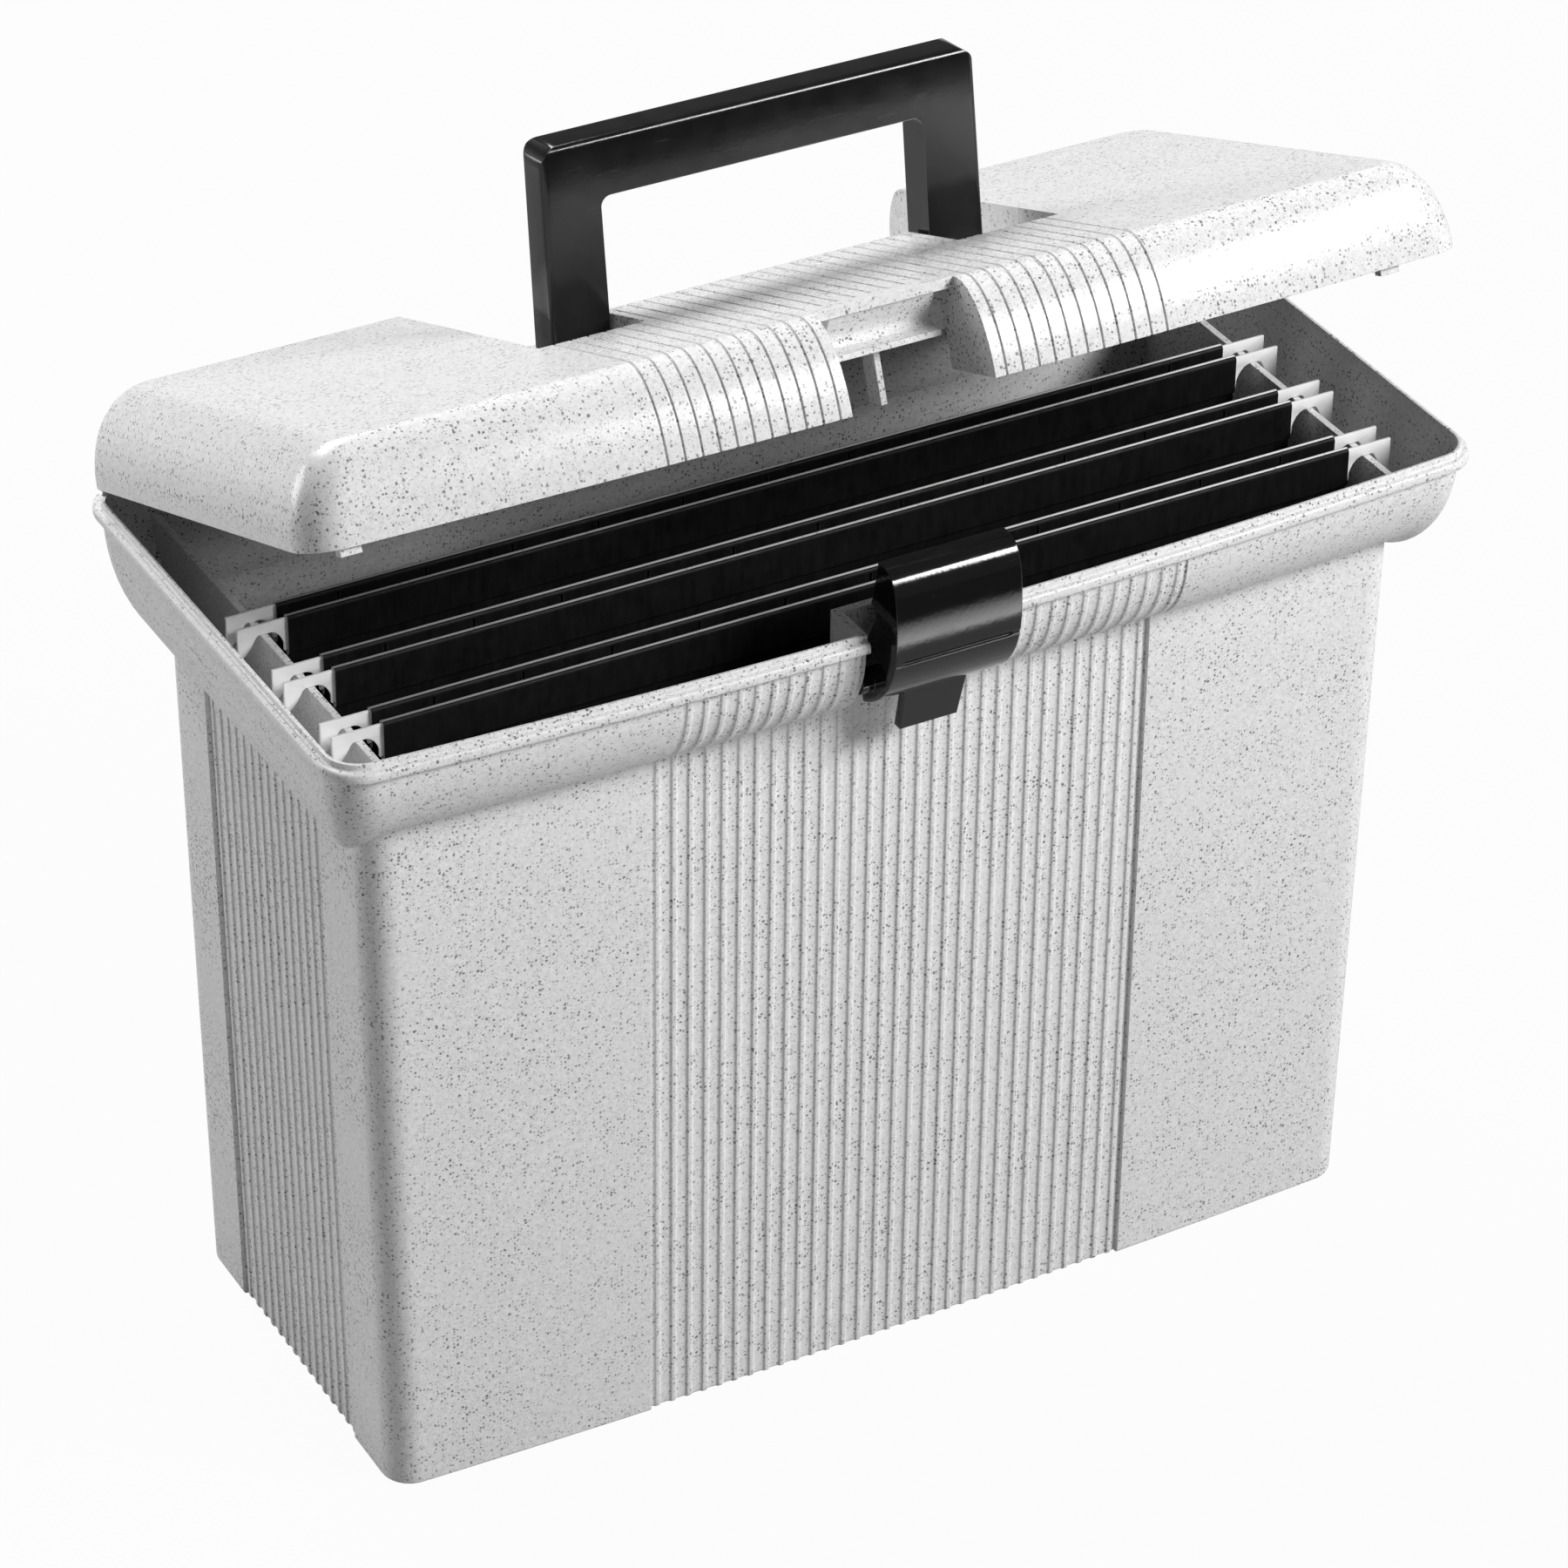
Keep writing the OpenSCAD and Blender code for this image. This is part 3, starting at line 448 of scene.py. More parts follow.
def level(hx, hy, bow, corner, z, z_end=None, sink=0.0, flute=0.0, inward=1.0, upward=0.0):
    """One level of a loft: half length and depth, the front's bow, corner radius, heights
    of the sides and ends, depths of panel and flute, and the way that those depths go."""
    return hx, hy, bow, corner, z, z if z_end is None else z_end, sink, flute, inward, upward


def ring_points(posts, ring):
    """Where the posts stand at a level. The flare's flutes stay off the ends."""
    hx, hy, bow, corner, z_side, z_end, sink, flute, inward, upward = ring
    points = []
    for side, (share, fixed, sunk, hollow), weight, angle in posts:
        turn = side * math.pi / 2
        long, deep = (hx, hy) if side % 2 == 0 else (hy, hx)
        if angle is None:
            along = share * (long - corner) + fixed
            bulge = bow * (1 - (along / (long - corner)) ** 2) if side == 0 else 0
            relief = sink * sunk + (flute * hollow if side in (0, 2) or not upward else 0)
            u, v = along, -deep - bulge + relief * inward
        else:
            relief = 0
            u, v = long - corner + corner * math.sin(angle), corner - deep - corner * math.cos(angle)
        height = weight * z_side + (1 - weight) * z_end + relief * upward
        points.append((u * math.cos(turn) - v * math.sin(turn),
                       u * math.sin(turn) + v * math.cos(turn), height))
    return points


def loft(posts, levels):
    """A closed skin: a ring of points, pushed from level to level and capped."""
    mesh = bmesh.new()
    ring = [mesh.verts.new(at) for at in ring_points(posts, levels[0])]
    edges = [mesh.edges.new(pair) for pair in zip(ring, ring[1:] + ring[:1])]
    mesh.faces.new(ring)
    for following in levels[1:]:
        pushed = bmesh.ops.extrude_edge_only(mesh, edges=edges)["geom"]
        fresh = {v for v in pushed if isinstance(v, bmesh.types.BMVert)}
        ring = [next(e.other_vert(v) for e in v.link_edges if e.other_vert(v) in fresh)
                for v in ring]
        edges = [e for e in pushed if isinstance(e, bmesh.types.BMEdge)
                 and e.verts[0] in fresh and e.verts[1] in fresh]
        for vert, at in zip(ring, ring_points(posts, following)):
            vert.co = at
    mesh.faces.new(ring)
    return mesh


# Tub
def foot_level(inset, z, sink=0.0, flute=0.0):
    return level(FOOT_X - inset, FOOT_Y - inset, WALL_BOW, WALL_CORNER - CORNER_SHARE * inset, z,
                 None, sink, flute)


def wall_top_level(inset, lift=0.0, sink=0.0, flute=0.0):
    return level(WALL_X - inset, WALL_Y - inset, WALL_BOW, WALL_CORNER - CORNER_SHARE * inset,
                 SIDE_CREASE + lift, END_CREASE + lift, sink, flute)


def flare_level(degrees, inset, lift=0.0, flute=0.0):
    """A level of the flare's quarter curve, whose flutes are cut square to the curve."""
    s, c = math.sin(math.radians(degrees)), math.cos(math.radians(degrees))
    return level(WALL_X + (LEDGE_X - WALL_X - BEAD_STEP) * s - inset,
                 WALL_Y + (LEDGE_Y - WALL_Y - BEAD_STEP) * s - inset,
                 WALL_BOW + (LEDGE_BOW - WALL_BOW) * s,
                 WALL_CORNER + (LEDGE_CORNER - WALL_CORNER) * s - CORNER_SHARE * inset,
                 SIDE_CREASE + (FLARE_TOP - SIDE_CREASE) * (1 - c) + lift,
                 END_CREASE + (FLARE_TOP - END_CREASE) * (1 - c) + lift, 0, flute, s, c)


def rim_level(inset, z):
    return level(LEDGE_X - inset, LEDGE_Y - inset, LEDGE_BOW, LEDGE_CORNER - CORNER_SHARE * inset, z)


def outer_levels():
    foot = [foot_level(FOOT_ROUND * (1 - math.sin(a)), FOOT_ROUND * (1 - math.cos(a)), SINK, FLUTE)
            for a in (0, 0.4, 0.8, 1.2, math.pi / 2)]
    flare = [flare_level(t, 0, 0, FLARE_FLUTE) for t in FLARE_STEPS]
    bead = [(1.7, FLARE_TOP + 0.2), (1.0, FLARE_TOP + 0.4), (0.4, FLARE_TOP + 0.6),
            (0.1, FLARE_TOP + 0.85), (0, FLARE_TOP + 1.1), (0, LEDGE_Z - 1.3),
            (0.05, LEDGE_Z - 0.9), (0.2, LEDGE_Z - 0.5), (0.45, LEDGE_Z - 0.22),
            (0.8, LEDGE_Z - 0.05), (1.3, LEDGE_Z), (1.75, LEDGE_Z + 0.04),
            (1.93, LEDGE_Z + 0.16), (LIP_OUT, LEDGE_Z + 0.4), (LIP_OUT, RIM_Z - 0.35),
            (LIP_OUT + 0.1, RIM_Z - 0.1), (LIP_OUT + 0.3, RIM_Z)]
    return foot + [wall_top_level(0, 0, SINK, FLUTE)] + flare + [rim_level(*p) for p in bead]


def inner_levels():
    lip = [(LIP_IN - 0.3, RIM_Z), (LIP_IN - 0.1, RIM_Z - 0.1), (LIP_IN, RIM_Z - 0.35),
           (LIP_IN + 0.4, FLARE_TOP + 1)]
    flare = [flare_level(t, WALL * math.sin(math.radians(t)), WALL * math.cos(math.radians(t)))
             for t in reversed(FLARE_STEPS[:-1])]
    wall = [wall_top_level(WALL, WALL), wall_top_level(WALL, -1, BACKING),
            foot_level(WALL, FLOOR_TOP + 2.2, BACKING), foot_level(WALL + 0.7, FLOOR_TOP + 0.6),
            foot_level(WALL + 2.2, FLOOR_TOP)]
    return [rim_level(*p) for p in lip] + flare + wall


def rails_and_notch_block():
    """Rails on their shelves and the block behind the latch, held inside the walls."""
    inside, held = bmesh.new(), 1.2
    inner, outer, skin = RAIL_X - RAIL / 2, RAIL_X + RAIL / 2, WALL_X - WALL / 2
    outline = [(inner, END_CREASE - SHELF / 2), (inner, RAIL_TOP), (outer, RAIL_TOP),
               (outer, END_CREASE), (skin, END_CREASE), (skin, END_CREASE - SHELF)]
    for side in (-1, 1):
        prism(inside, [(side * x, z) for x, z in outline], RAIL_LENGTH, 0, "y")
    box(inside, (-NOTCH_X - WALL, FRONT_OUT, NOTCH_Z), (NOTCH_X + WALL, NOTCH_Y + WALL, 262))
    flare = [flare_level(t, held * math.sin(math.radians(t)), held) for t in FLARE_STEPS[2::2]]
    core = loft(ring_posts(plain_marks(24), plain_marks(2), plain_marks(2), 8),
                [foot_level(held, FLOOR_TOP), wall_top_level(held)] + flare + [rim_level(2.6, RIM_Z)])
    return combine(solid(inside), solid(core), "INTERSECT")


def tub_knuckles():
    mesh = bmesh.new()
    for x in (-HINGE_X, HINGE_X):
        for k in (-1, 1):
            prism(mesh, [(HINGE_Y + KNUCKLE * math.cos(a), HINGE_Z + KNUCKLE * math.sin(a))
                         for a in [math.pi * i / 20 for i in range(21)]] +
                  [(HINGE_Y - KNUCKLE, LEDGE_Z - 4), (HINGE_Y + 0.5, LEDGE_Z - 4)],
                  TUB_KNUCKLE, x + k * KNUCKLE_STEP)
    return solid(mesh)


def tub_shape():
    tub = solid(loft(ring_posts(side_marks(FRONT_RIBS, 14), side_marks(END_RIBS, 6),
                                plain_marks(32), 12), outer_levels() + inner_levels()))
    combine(tub, rails_and_notch_block(), "UNION")
    combine(tub, tub_knuckles(), "UNION")
    holes = bmesh.new()
    box(holes, (-NOTCH_X, FRONT_OUT, 214), (NOTCH_X, NOTCH_Y, ABOVE))
    for x in (-HINGE_X, HINGE_X):
        bar(holes, KNUCKLE + GAP, LID_KNUCKLE + 2 * GAP, HINGE_Y, HINGE_Z, x)
    combine(tub, solid(holes))
    holes = bmesh.new()
    box(holes, (-LEDGE_X - 5, BACK_GAP[0], LEDGE_Z + 0.02), (LEDGE_X + 5, BACK_GAP[1], ABOVE))
    bar(holes, PIN, LATCH_BORE, LATCH_Y, LATCH_Z)
    for x in (-HINGE_X, HINGE_X):
        bar(holes, PIN, HINGE_BORE, HINGE_Y, HINGE_Z, x)
    return combine(tub, solid(holes))


# Lid, drawn closed
def lid_level(degrees, inset, z):
    c = math.cos(math.radians(degrees))
    return level(LID_X - END_DRAW * (1 - c) - inset, LID_Y - inset, LEDGE_BOW * c,
                 6 + 6 * c - CORNER_SHARE * inset, z)


def lid_dome(inset, height, low):
    """The lid's dome, drawn in by a skin; its front and back edges lean unequally."""
    levels = [lid_level(t, inset, LID_Z + height * math.sin(math.radians(t)))
              for t in range(0, 91, 5)]
    if low:
        levels.insert(0, lid_level(0, inset, LID_Z - low))
    mesh = loft(ring_posts(plain_marks(40), plain_marks(16), plain_marks(8), 14), levels)
    for vert in mesh.verts:
        rise = max(0.0, min(1.0, (vert.co.z - LID_Z) / height))
        lean = 1 - math.sqrt(max(0.0, 1 - rise * rise))
        share = min(1.0, abs(vert.co.y) / (LID_Y - inset - 6))
        vert.co.y += lean * share * (FRONT_LEAN if vert.co.y < 0 else -BACK_LEAN)
    return solid(mesh)


def sink_handle_place(target, skin):
    """Cuts the sunk place and its two leg pockets, a skin larger, out of a dome."""
    sunk = bmesh.new()
    box(sunk, (-RECESS_X - skin, RIB_EDGE - skin, RECESS_Z - skin), (RECESS_X + skin, BACK_OUT, ABOVE))
    combine(target, solid(sunk))
    for side in (-1, 1):
        sunk = bmesh.new()
        a, b = sorted((side * (POCKET_X - skin), side * (RECESS_X + skin)))
        box(sunk, (a, POCKET_Y - skin, RECESS_Z - skin), (b, RIB_EDGE + 40, ABOVE))
        combine(target, solid(sunk))


def lid_blank():
    """The hollow dome with its sunk place and its lined opening over the latch."""
    lid = lid_dome(0, LID_HEIGHT, 0)
    slabs = bmesh.new()
    for side in (-1, 1):
        a, b = sorted((side * CATCH_X, side * (CATCH_X + LINING)))
        box(slabs, (a, -LID_Y - 20, LID_Z + 0.05), (b, CREST_Y + 9, LID_TOP + 5))
    lining = combine(solid(slabs), lid_dome(0.02, LID_HEIGHT - 0.02, 0), "INTERSECT")
    hollow = lid_dome(WALL, LID_HEIGHT - WALL, 1)
    sink_handle_place(hollow, WALL)
    sink_handle_place(lid, 0)
    combine(lid, hollow)
    front = bmesh.new()
    box(front, (-CATCH_X, CREST_Y - 40, LID_Z - 1), (CATCH_X, CREST_Y, ABOVE))
    combine(lid, solid(front))
    return combine(lid, lining, "UNION")


def add_tongue_and_ears(lid):
    """The hooked tongue for the latch, in its middle, and the bosses for the handle's pins."""
    hook = ((0, 0.02), (0, 1.2), (2.5, 4.8), (4.7, 7.2), (6.4, 9.2), (6.8, 10.8), (5.8, 12.1),
            (0.5, 13.1), (0.5, 14.6), (8.5, 14.6), (9, 8), (6.6, 2.4), (6.6, 0.02))
    added = bmesh.new()
    prism(added, [(CREST_Y + a, LID_TOP - b) for a, b in hook], TONGUE)
    for side in (-1, 1):
        bar(added, EAR, EAR_WIDTH, PIVOT_Y, PIVOT_Z, side * EAR_X)
    combine(lid, solid(added), "UNION")


def add_lid_details(lid):
    """The fin behind the tongue, the ears' feet, the knuckles on their arms, the nubs, and
    the tongue's sides."""
    added, slight = bmesh.new(), 0.01
    box(added, (-FIN / 2, -61, LID_Z - 4.6), (FIN / 2, -54, LID_TOP - 1.25))
    for side in (-1, 1):
        ear = side * EAR_X
        box(added, (ear - EAR_WIDTH / 2 + slight, PIVOT_Y - EAR + 0.02, RECESS_Z - 1.25),
            (ear + EAR_WIDTH / 2 - slight, PIVOT_Y + EAR - 0.02, PIVOT_Z))
        prism(added, [(LID_Y - WALL, LID_Z), (LID_Y - WALL, LID_Z + 8), (LID_Y - 0.6, LID_Z + 8),
                      (HINGE_Y + KNUCKLE - 0.2, HINGE_Z + 1), (HINGE_Y, HINGE_Z - 1),
                      (HINGE_Y - 1.5, LID_Z)], LID_KNUCKLE - 2 * slight, side * HINGE_X)
        nub = side * NUB_X - NUB_SHIFT
        box(added, (nub - 3, -LID_Y + WALL - 0.5, LID_Z - 2.4),
            (nub + 3, -LID_Y + WALL + 2.5, LID_Z + 5))
        a, b = sorted((side * (TONGUE / 2 - 0.1), side * (CATCH_X + 0.1)))
        box(added, (a, CREST_Y + 6.7, LID_TOP - 14.58), (b, CREST_Y + 8.9, LID_TOP - 1.22))
    combine(lid, solid(added), "UNION")
    added = bmesh.new()
    box(added, (0.02 - FIN / 2, -62, LID_TOP - 14.6), (FIN / 2 - 0.02, -60, LID_TOP - 1.3))
    for side in (-1, 1):
        bar(added, KNUCKLE, LID_KNUCKLE, HINGE_Y, HINGE_Z, side * HINGE_X)
    combine(lid, solid(added), "UNION")


def cut_lid_grooves(lid):
    """Grooves over the top, and down the front on both sides of the latch's opening."""
    cuts = bmesh.new()
    for i in range(FRONT_RIBS):
        x = (i - (FRONT_RIBS - 1) / 2) * PITCH
        if abs(x) < CATCH_X + 1.1:
            box(cuts, (x - GROOVE / 2, CREST_Y + 6, LID_TOP - GROOVE_DEPTH),
                (x + GROOVE / 2, RIB_EDGE + 1, ABOVE))
            continue
        bulge = LEDGE_BOW * (1 - (x / (LID_X - 10.8)) ** 2)
        skin = []
        for t in range(0, 91, 5):
            s, c = math.sin(math.radians(t)), math.cos(math.radians(t))
            skin.append((-(LID_Y - FRONT_LEAN * (1 - c) + (bulge - GROOVE_DEPTH) * c),
                         LID_Z + (LID_HEIGHT - GROOVE_DEPTH) * s))
        prism(cuts, skin + [(RIB_EDGE + 1, LID_TOP - GROOVE_DEPTH), (RIB_EDGE + 1, LID_TOP + 10),
                            (FRONT_OUT, LID_TOP + 10), (FRONT_OUT, LID_Z - 1),
                            (skin[0][0], LID_Z - 1)], GROOVE, x)
    combine(lid, solid(cuts))


def lid_shape():
    lid = lid_blank()
    add_tongue_and_ears(lid)
    add_lid_details(lid)
    cut_lid_grooves(lid)
    holes = bmesh.new()
    for side in (-1, 1):
        bar(holes, PIN, HANDLE_BORE, PIVOT_Y, PIVOT_Z, side * HANDLE_BORE_X)
        bar(holes, PIN + PLAY, LID_KNUCKLE + 1, HINGE_Y, HINGE_Z, side * HINGE_X)
    combine(lid, solid(holes))
    holes = bmesh.new()
    for side in (-1, 1):
        for k in (-1, 1):
            bar(holes, KNUCKLE + GAP, TUB_KNUCKLE + 2 * GAP, HINGE_Y, HINGE_Z,
                side * HINGE_X + k * KNUCKLE_STEP)
    return combine(lid, solid(holes))


def open_lid(piece):
    """Turns a piece drawn on the closed lid to where the lid stands."""
    turn = Matrix.Translation((0, HINGE_Y, HINGE_Z)) @ \
        Matrix.Rotation(math.radians(-LID_OPEN), 4, "X") @ \
        Matrix.Translation((0, -HINGE_Y, -HINGE_Z))
    piece.data.transform(turn)
    return piece


# Latch
def latch_face():
    """The face and its hollow back: an arc with a groove under a flat strip, and a crown."""
    middle, front = (FACE_Y, FACE_Z), FACE_Y - FACE
    outline = []
    reach(outline, FACE, middle, 248, 193.4, 18)
    reach(outline, FACE + 0.12, middle, 193.1, 192.8, 1)
    reach(outline, FACE - 0.75, middle, 192.6, 189.9, 2)
    reach(outline, FACE, middle, 189.6, 189.4, 1)
    outline += [(front + back, FACE_Z + up) for back, up in CROWN]
    outline += [(FACE_Y - 16.6, FACE_Z + 17.6), (FACE_Y - 20.4, FACE_Z + 17), (front + 4.9, FACE_Z + 13)]
    reach(outline, FACE - 3, middle, 165, 248, 14)
    return outline


def latch_cheek():
    """One side of the latch, a little inside its face, with the gap for the lid's crest."""
    outline = []
    reach(outline, FACE - 0.25, (FACE_Y, FACE_Z), 248, 180, 16)
    outline += [(FACE_Y - FACE + 0.25 + back, FACE_Z + up - 0.1) for back, up in CROWN[1:-1]]
    back_edge = ((16.7, 21.2), (14.8, 12), (13.4, 7), (16, 5.6), (15.8, 3), (10.2, -8))
    return outline + [(FACE_Y - back, FACE_Z + up) for back, up in back_edge]


def latch_shape():
    """The latch: a face, two cheeks with bosses round the pin, and a finger tab."""
    mesh = bmesh.new()
    prism(mesh, latch_face(), LATCH_WIDTH)
    latch = solid(mesh)
    sides, hubs, bosses, tab = (bmesh.new() for _ in range(4))
    for side in (-1, 1):
        prism(sides, latch_cheek(), CHEEK, side * CHEEK_X)
        bar(hubs, 4, CHEEK - 0.02, LATCH_Y, LATCH_Z, side * CHEEK_X)
        bar(bosses, 3.4, 4.7, LATCH_Y, LATCH_Z, side * 20.2)
    outline = ((-9.4, -5.5), (9.4, -5.5), (9.2, -9), (8.8, -19.3), (-8.8, -19.3), (-9.2, -9))
    prism(tab, [(x, LATCH_Z + z) for x, z in outline], 3.0, LATCH_Y - 1.0, "y")
    for vert in tab.verts:
        vert.co.y += TAB_LEAN * (LATCH_Z - 7 - vert.co.z)
    for mesh in (sides, hubs, bosses, tab):
        combine(latch, solid(mesh), "UNION")
    hole = bmesh.new()
    bar(hole, PIN + PLAY, 60, LATCH_Y, LATCH_Z)
    return combine(latch, solid(hole))


# Folders
def folder_y(i):
    return FOLDER_Y + i * FOLDER_STEP


def sleeve_face(k):
    """One face of a folder's sheet, from the crest of a hem to the fold and up again."""
    points = []
    turn = (HALF_SPREAD + k * (HEM / 2 - HEM_ROUND), PAPER_TOP - HEM_ROUND)
    for i in range(7):
        a = math.radians(90 - 15 * i)
        points.append((turn[0] + k * HEM_ROUND * math.cos(a), turn[1] + HEM_ROUND * math.sin(a)))
    points += [(HALF_SPREAD + k * HEM / 2, HEM_Z + 0.3), (HALF_SPREAD + k * (HEM / 2 - 0.25), HEM_Z),
               (HALF_SPREAD + k * PAPER / 2, HEM_Z)]
    down = list(points)
    reach(points, FOLD + k * PAPER / 2, (0, FOLD_Z), 0, -180, 24)
    return points + [(-y, z) for y, z in reversed(down)]


def sleeve_shape(i):
    """A folder's sheet, with its two hollow hems and the tab slots of the back one."""
    mesh = bmesh.new()
    prism(mesh, sleeve_face(1) + sleeve_face(-1)[::-1], PAPER_WIDTH)
    sleeve = solid(mesh)
    hollows = bmesh.new()
    for side in (-1, 1):
        hem = side * HALF_SPREAD
        outline = [(hem - 0.65, HEM_Z + PAPER)]
        reach(outline, 0.3, (hem - 0.35, PAPER_TOP - 0.9), 180, 90, 3)
        reach(outline, 0.3, (hem + 0.35, PAPER_TOP - 0.9), 90, 0, 3)
        prism(hollows, outline + [(hem + 0.65, HEM_Z + PAPER)], PAPER_WIDTH + 2)
    combine(sleeve, solid(hollows))
    slots = bmesh.new()
    for k in range(SLOTS):
        x = (k - (SLOTS - 1) / 2) * SLOT_STEP
        outline = [(x - SLOT_ROUND, PAPER_TOP - SLOT_LOW)]
        reach(outline, SLOT_ROUND, (x, PAPER_TOP - SLOT_TOP), 180, 0, 8)
        prism(slots, outline + [(x + SLOT_ROUND, PAPER_TOP - SLOT_LOW)], 1.0,
              HALF_SPREAD - HEM / 2 + 0.2, "y")
    combine(sleeve, solid(slots))
    sleeve.data.transform(Matrix.Translation((0, folder_y(i), 0)))
    return sleeve


def rod_shape(i, side):
    """A flat rod whose ends are cut into hooks by an arch."""
    arch = ((6.9, 10.3), (6.9, 6.4), (5.2, 4.9), (3.9, 3.3), (3, 1.5), (2.4, 0.5), (1.7, 0),
            (-1.9, 0), (-3.2, 0.5), (-4.4, 1.7), (-5.2, 3.1), (-5.7, 4.4), (-5.7, 10.3))
    top, end = PAPER_TOP - ROD_TOP, RAIL_X + HOOK_REACH
    low = top - ROD_HEIGHT
    right = [(RAIL_X + a, max(low, RAIL_TOP + HOOK_PLAY - b)) for a, b in arch]
    outline = [(-end, top), (end, top), (end, low)] + right + \
        [(-x, z) for x, z in reversed(right)] + [(-end, low)]
    mesh = bmesh.new()
    prism(mesh, outline, ROD, folder_y(i) + side * HALF_SPREAD, "y")
    bmesh.ops.recalc_face_normals(mesh, faces=mesh.faces)
    sharp = [e for e in mesh.edges if e.calc_face_angle(0) > 0.5]
    bmesh.ops.bevel(mesh, geom=sharp, offset=ROD_EDGE, offset_type="OFFSET", segments=2,
                    profile=0.5, affect="EDGES", material=-1, clamp_overlap=True)
    return solid(mesh)


# Pieces
def finish_piece(piece, name, body, material, angle=35, node=None):
    """Scales a piece to metres, shades it smooth over gentle edges and seats it."""
    mesh = bmesh.new()
    mesh.from_mesh(piece.data)
    bmesh.ops.scale(mesh, vec=(MM, MM, MM), verts=mesh.verts)
    bmesh.ops.remove_doubles(mesh, verts=mesh.verts, dist=0.002 * MM)
    for edge in mesh.edges:
        edge.smooth = edge.is_manifold and edge.calc_face_angle(4) < math.radians(angle)
    for face in mesh.faces:
        face.smooth = True
    mesh.to_mesh(piece.data)
    mesh.free()
    piece.name = piece.data.name = name
    piece.data.materials.clear()
    piece.data.materials.append(material)
    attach(piece, body)
    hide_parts(node)
    return piece


def smooth_copy(node):
    """A merged copy of a CAD node, in millimetres, that finish_piece shades smooth."""
    mesh = bmesh.new()
    mesh.from_mesh(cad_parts[node].data)
    bmesh.ops.scale(mesh, vec=(1 / MM, 1 / MM, 1 / MM), verts=mesh.verts)
    return solid(mesh)


def mark_cuts(piece, material):
    """Gives a folder's cut ends and slots the colour of a cut edge."""
    piece.data.materials.append(material)
    for face in piece.data.polygons:
        z = face.center.z / MM
        slot = abs(face.normal.y) < 0.3 and PAPER_TOP - SLOT_LOW - 0.1 < z < PAPER_TOP - 1.25
        if abs(face.normal.x) > 0.9 or slot:
            face.material_index = 1


def paint(node, material):
    """Gives a CAD node a better material."""
    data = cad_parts[node].data
    data.materials.clear()
    data.materials.append(material)


# Light
def softbox(name, place, width, height, power):
    """A rectangular lamp that faces the middle of the box."""
    data = bpy.data.lights.new(name, "AREA")
    data.shape = "RECTANGLE"
    data.size, data.size_y, data.energy = width, height, power
    lamp = bpy.data.objects.new(name, data)
    scene.collection.objects.link(lamp)
    direction = Vector((0, 0, 0.15)) - Vector(place)
    lamp.matrix_world = Matrix.Translation(place) @ \
        direction.to_track_quat("-Z", "Y").to_matrix().to_4x4()


def light_studio():
    """Three lamps in a dim grey world that looks white to the camera."""
    world = bpy.data.worlds.new("studio")
    scene.world = world
    world.use_nodes = True
    nodes, links = world.node_tree.nodes, world.node_tree.links
    sky = nodes["Background"]
    sky.inputs[0].default_value = (1, 1, 1, 1)
    path = nodes.new("ShaderNodeLightPath")
    seen = nodes.new("ShaderNodeMath")
    seen.operation = "MAXIMUM"
    links.new(path.outputs["Is Camera Ray"], seen.inputs[0])
    links.new(path.outputs["Is Transmission Ray"], seen.inputs[1])
    glow = nodes.new("ShaderNodeMapRange")
    links.new(seen.outputs[0], glow.inputs["Value"])
    glow.inputs["To Min"].default_value = 0.11
    glow.inputs["To Max"].default_value = 1.0
    links.new(glow.outputs[0], sky.inputs[1])
    softbox("key", (1.65, -1.77, 1.83), 1.3, 0.8, 98)
    softbox("top", (-0.2, 1.6, 1.9), 1.4, 1.0, 50)
    softbox("side", (-1.4, 1.25, 0.6), 0.8, 0.9, 14)


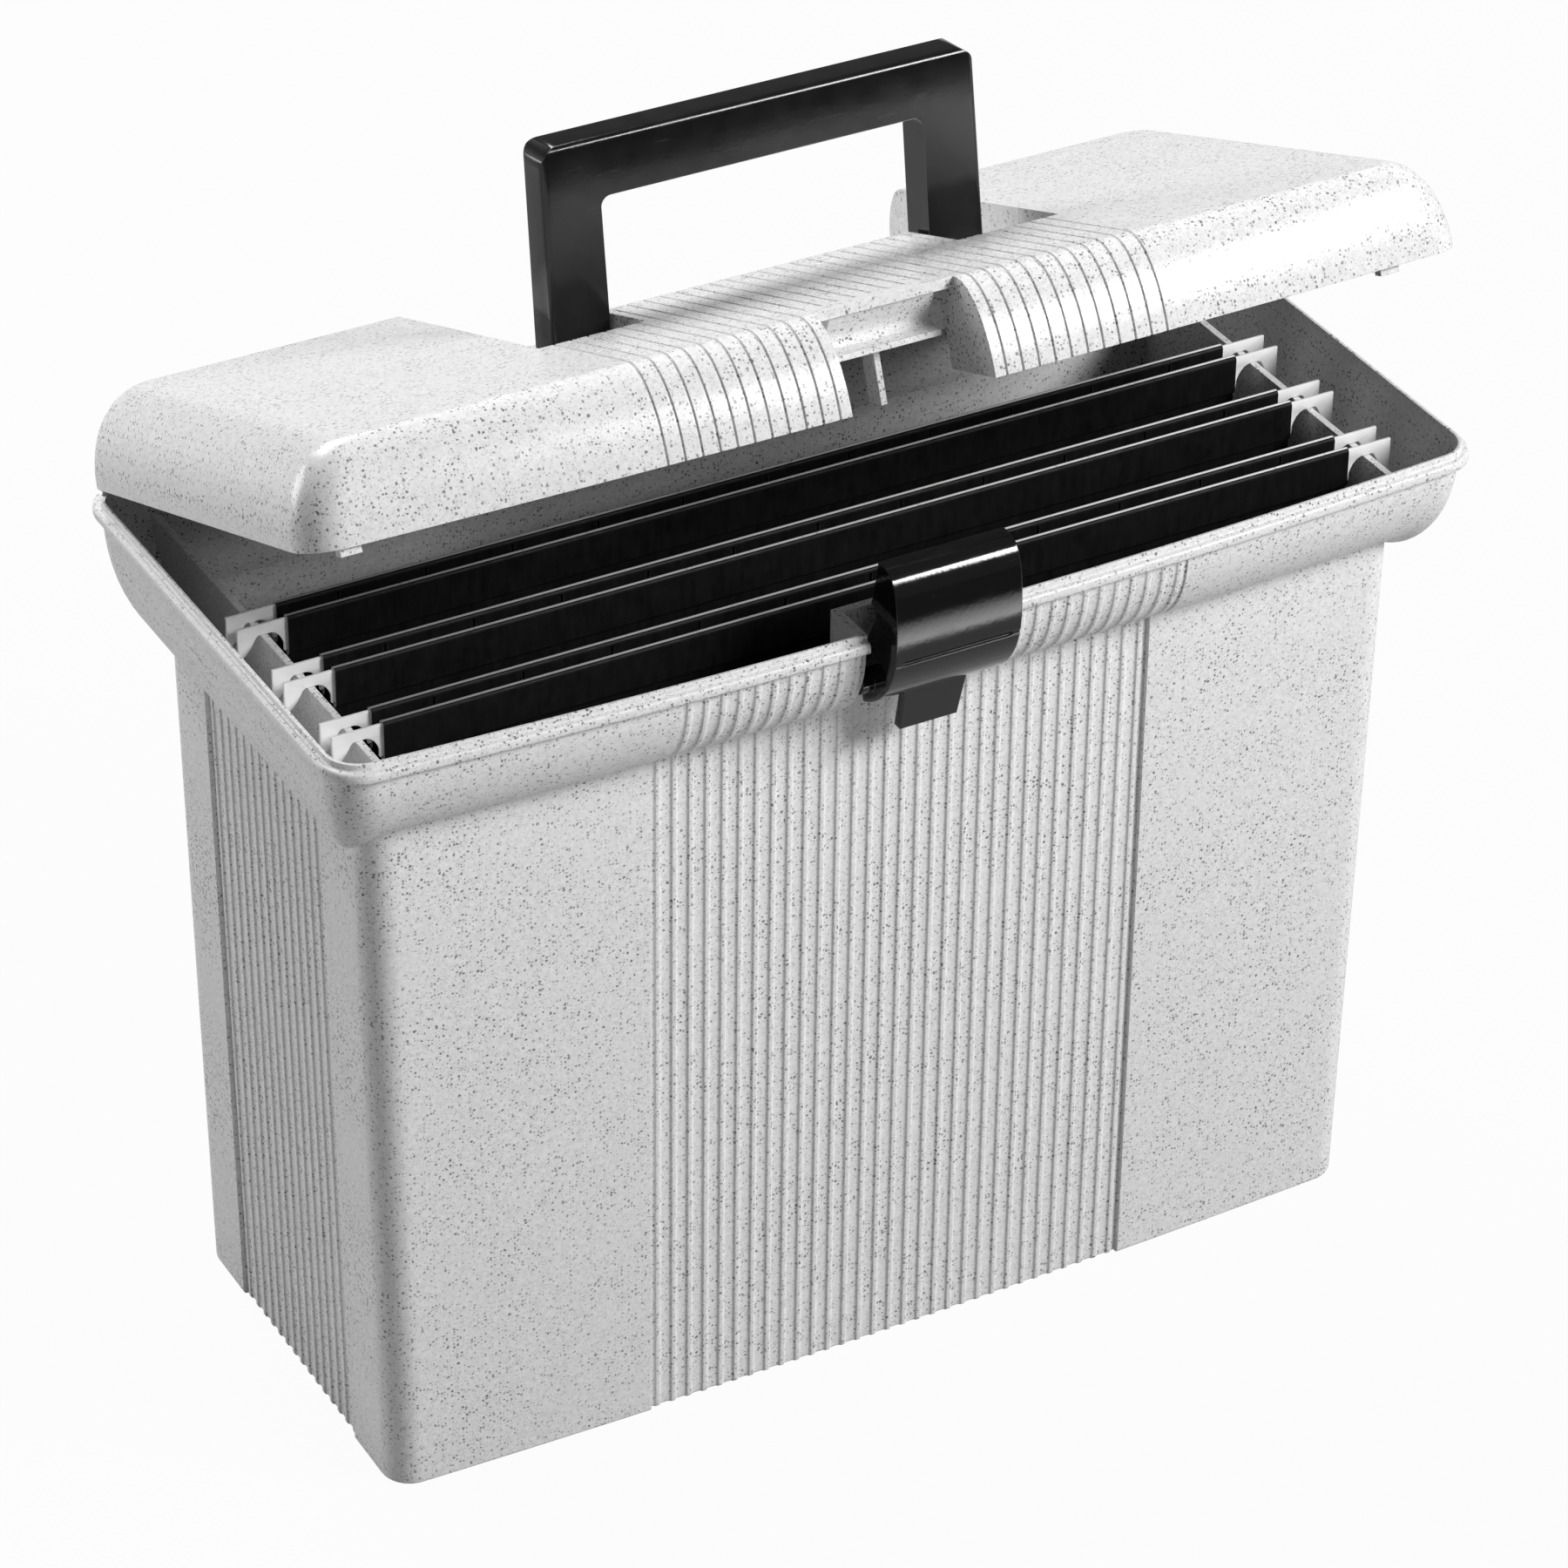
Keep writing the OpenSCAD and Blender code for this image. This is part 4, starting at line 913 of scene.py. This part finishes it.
def lay_floor():
    """A floor that looks nearly white to the camera and still takes the box's shadow."""
    mesh = bmesh.new()
    bmesh.ops.create_grid(mesh, x_segments=1, y_segments=1, size=6)
    data = bpy.data.meshes.new("floor")
    mesh.to_mesh(data)
    mesh.free()
    floor = bpy.data.objects.new("floor", data)
    scene.collection.objects.link(floor)
    f = Finish("floor")
    f.set(Base_Color=(0.3, 0.3, 0.3, 1), Roughness=0.9)
    glow = f.nodes.new("ShaderNodeEmission")
    path = f.nodes.new("ShaderNodeLightPath").outputs
    blend = f.nodes.new("ShaderNodeMixShader")
    share = f.math("MAXIMUM", f.math("MULTIPLY", path["Is Camera Ray"], 0.96), path["Is Glossy Ray"])
    # Painted reflections: to glossy rays the floor glows, though it is no lamp, as a grey sheet with a
    # bright strip before the box and darkness past it
    y = f.split(f.place)[1]
    strip = f.math("MULTIPLY", f.slope(y, -50, -20), f.slope(y, 6, 3.6))
    glossy_glow = f.math("MULTIPLY_ADD", f.slope(y, -8, -4.2), -0.48,
                   f.math("MULTIPLY_ADD", strip, 5.0, 0.52))
    f.link(f.math("MULTIPLY_ADD", f.math("SUBTRACT", glossy_glow, 1.0), path["Is Glossy Ray"], 1.0),
           glow.inputs["Strength"])
    f.link(share, blend.inputs[0])
    f.link(f.shader.outputs[0], blend.inputs[1])
    f.link(glow.outputs[0], blend.inputs[2])
    f.link(blend.outputs[0], f.nodes["Material Output"].inputs["Surface"])
    data.materials.append(f.material)


place_camera()
granite = granite_finish("granite_plastic", 0.34, 0.8)
lid_granite = granite_finish("granite_gloss", 0.2, 0.79)
black = black_plastic_finish("black_plastic", 0.13, 0.24)
latch_black = black_plastic_finish("black_gloss", 0.07, 0.13)
board = folder_finish()
cut_edge = cut_edge_finish()
white = rod_finish()
steel = steel_finish()

finish_piece(tub_shape(), "tub_shell", "base", granite, node="tub")
finish_piece(open_lid(lid_shape()), "lid_shell", "lid", lid_granite, node="lid")
finish_piece(smooth_copy("handle"), "handle_grip", "handle", black, node="handle")
finish_piece(latch_shape(), "latch_shell", "latch", latch_black, 28, "latch")
for node in ("handle_pin_left", "handle_pin_right", "hinge_pin_left", "hinge_pin_right",
             "latch_pin"):
    paint(node, steel)
for i, folder in enumerate(("front", "middle", "back")):
    body = "folder_" + folder
    sheet = finish_piece(sleeve_shape(i), "sheet_" + folder, body, board,
                         node="sleeve_" + folder)
    mark_cuts(sheet, cut_edge)
    for side, letter in ((-1, "a"), (1, "b")):
        finish_piece(rod_shape(i, side), "hook_rod_%s_%s" % (folder, letter), body,
                     white, node="rod_%s_%s" % (folder, letter))

light_studio()
lay_floor()
scene.view_settings.view_transform = "Standard"
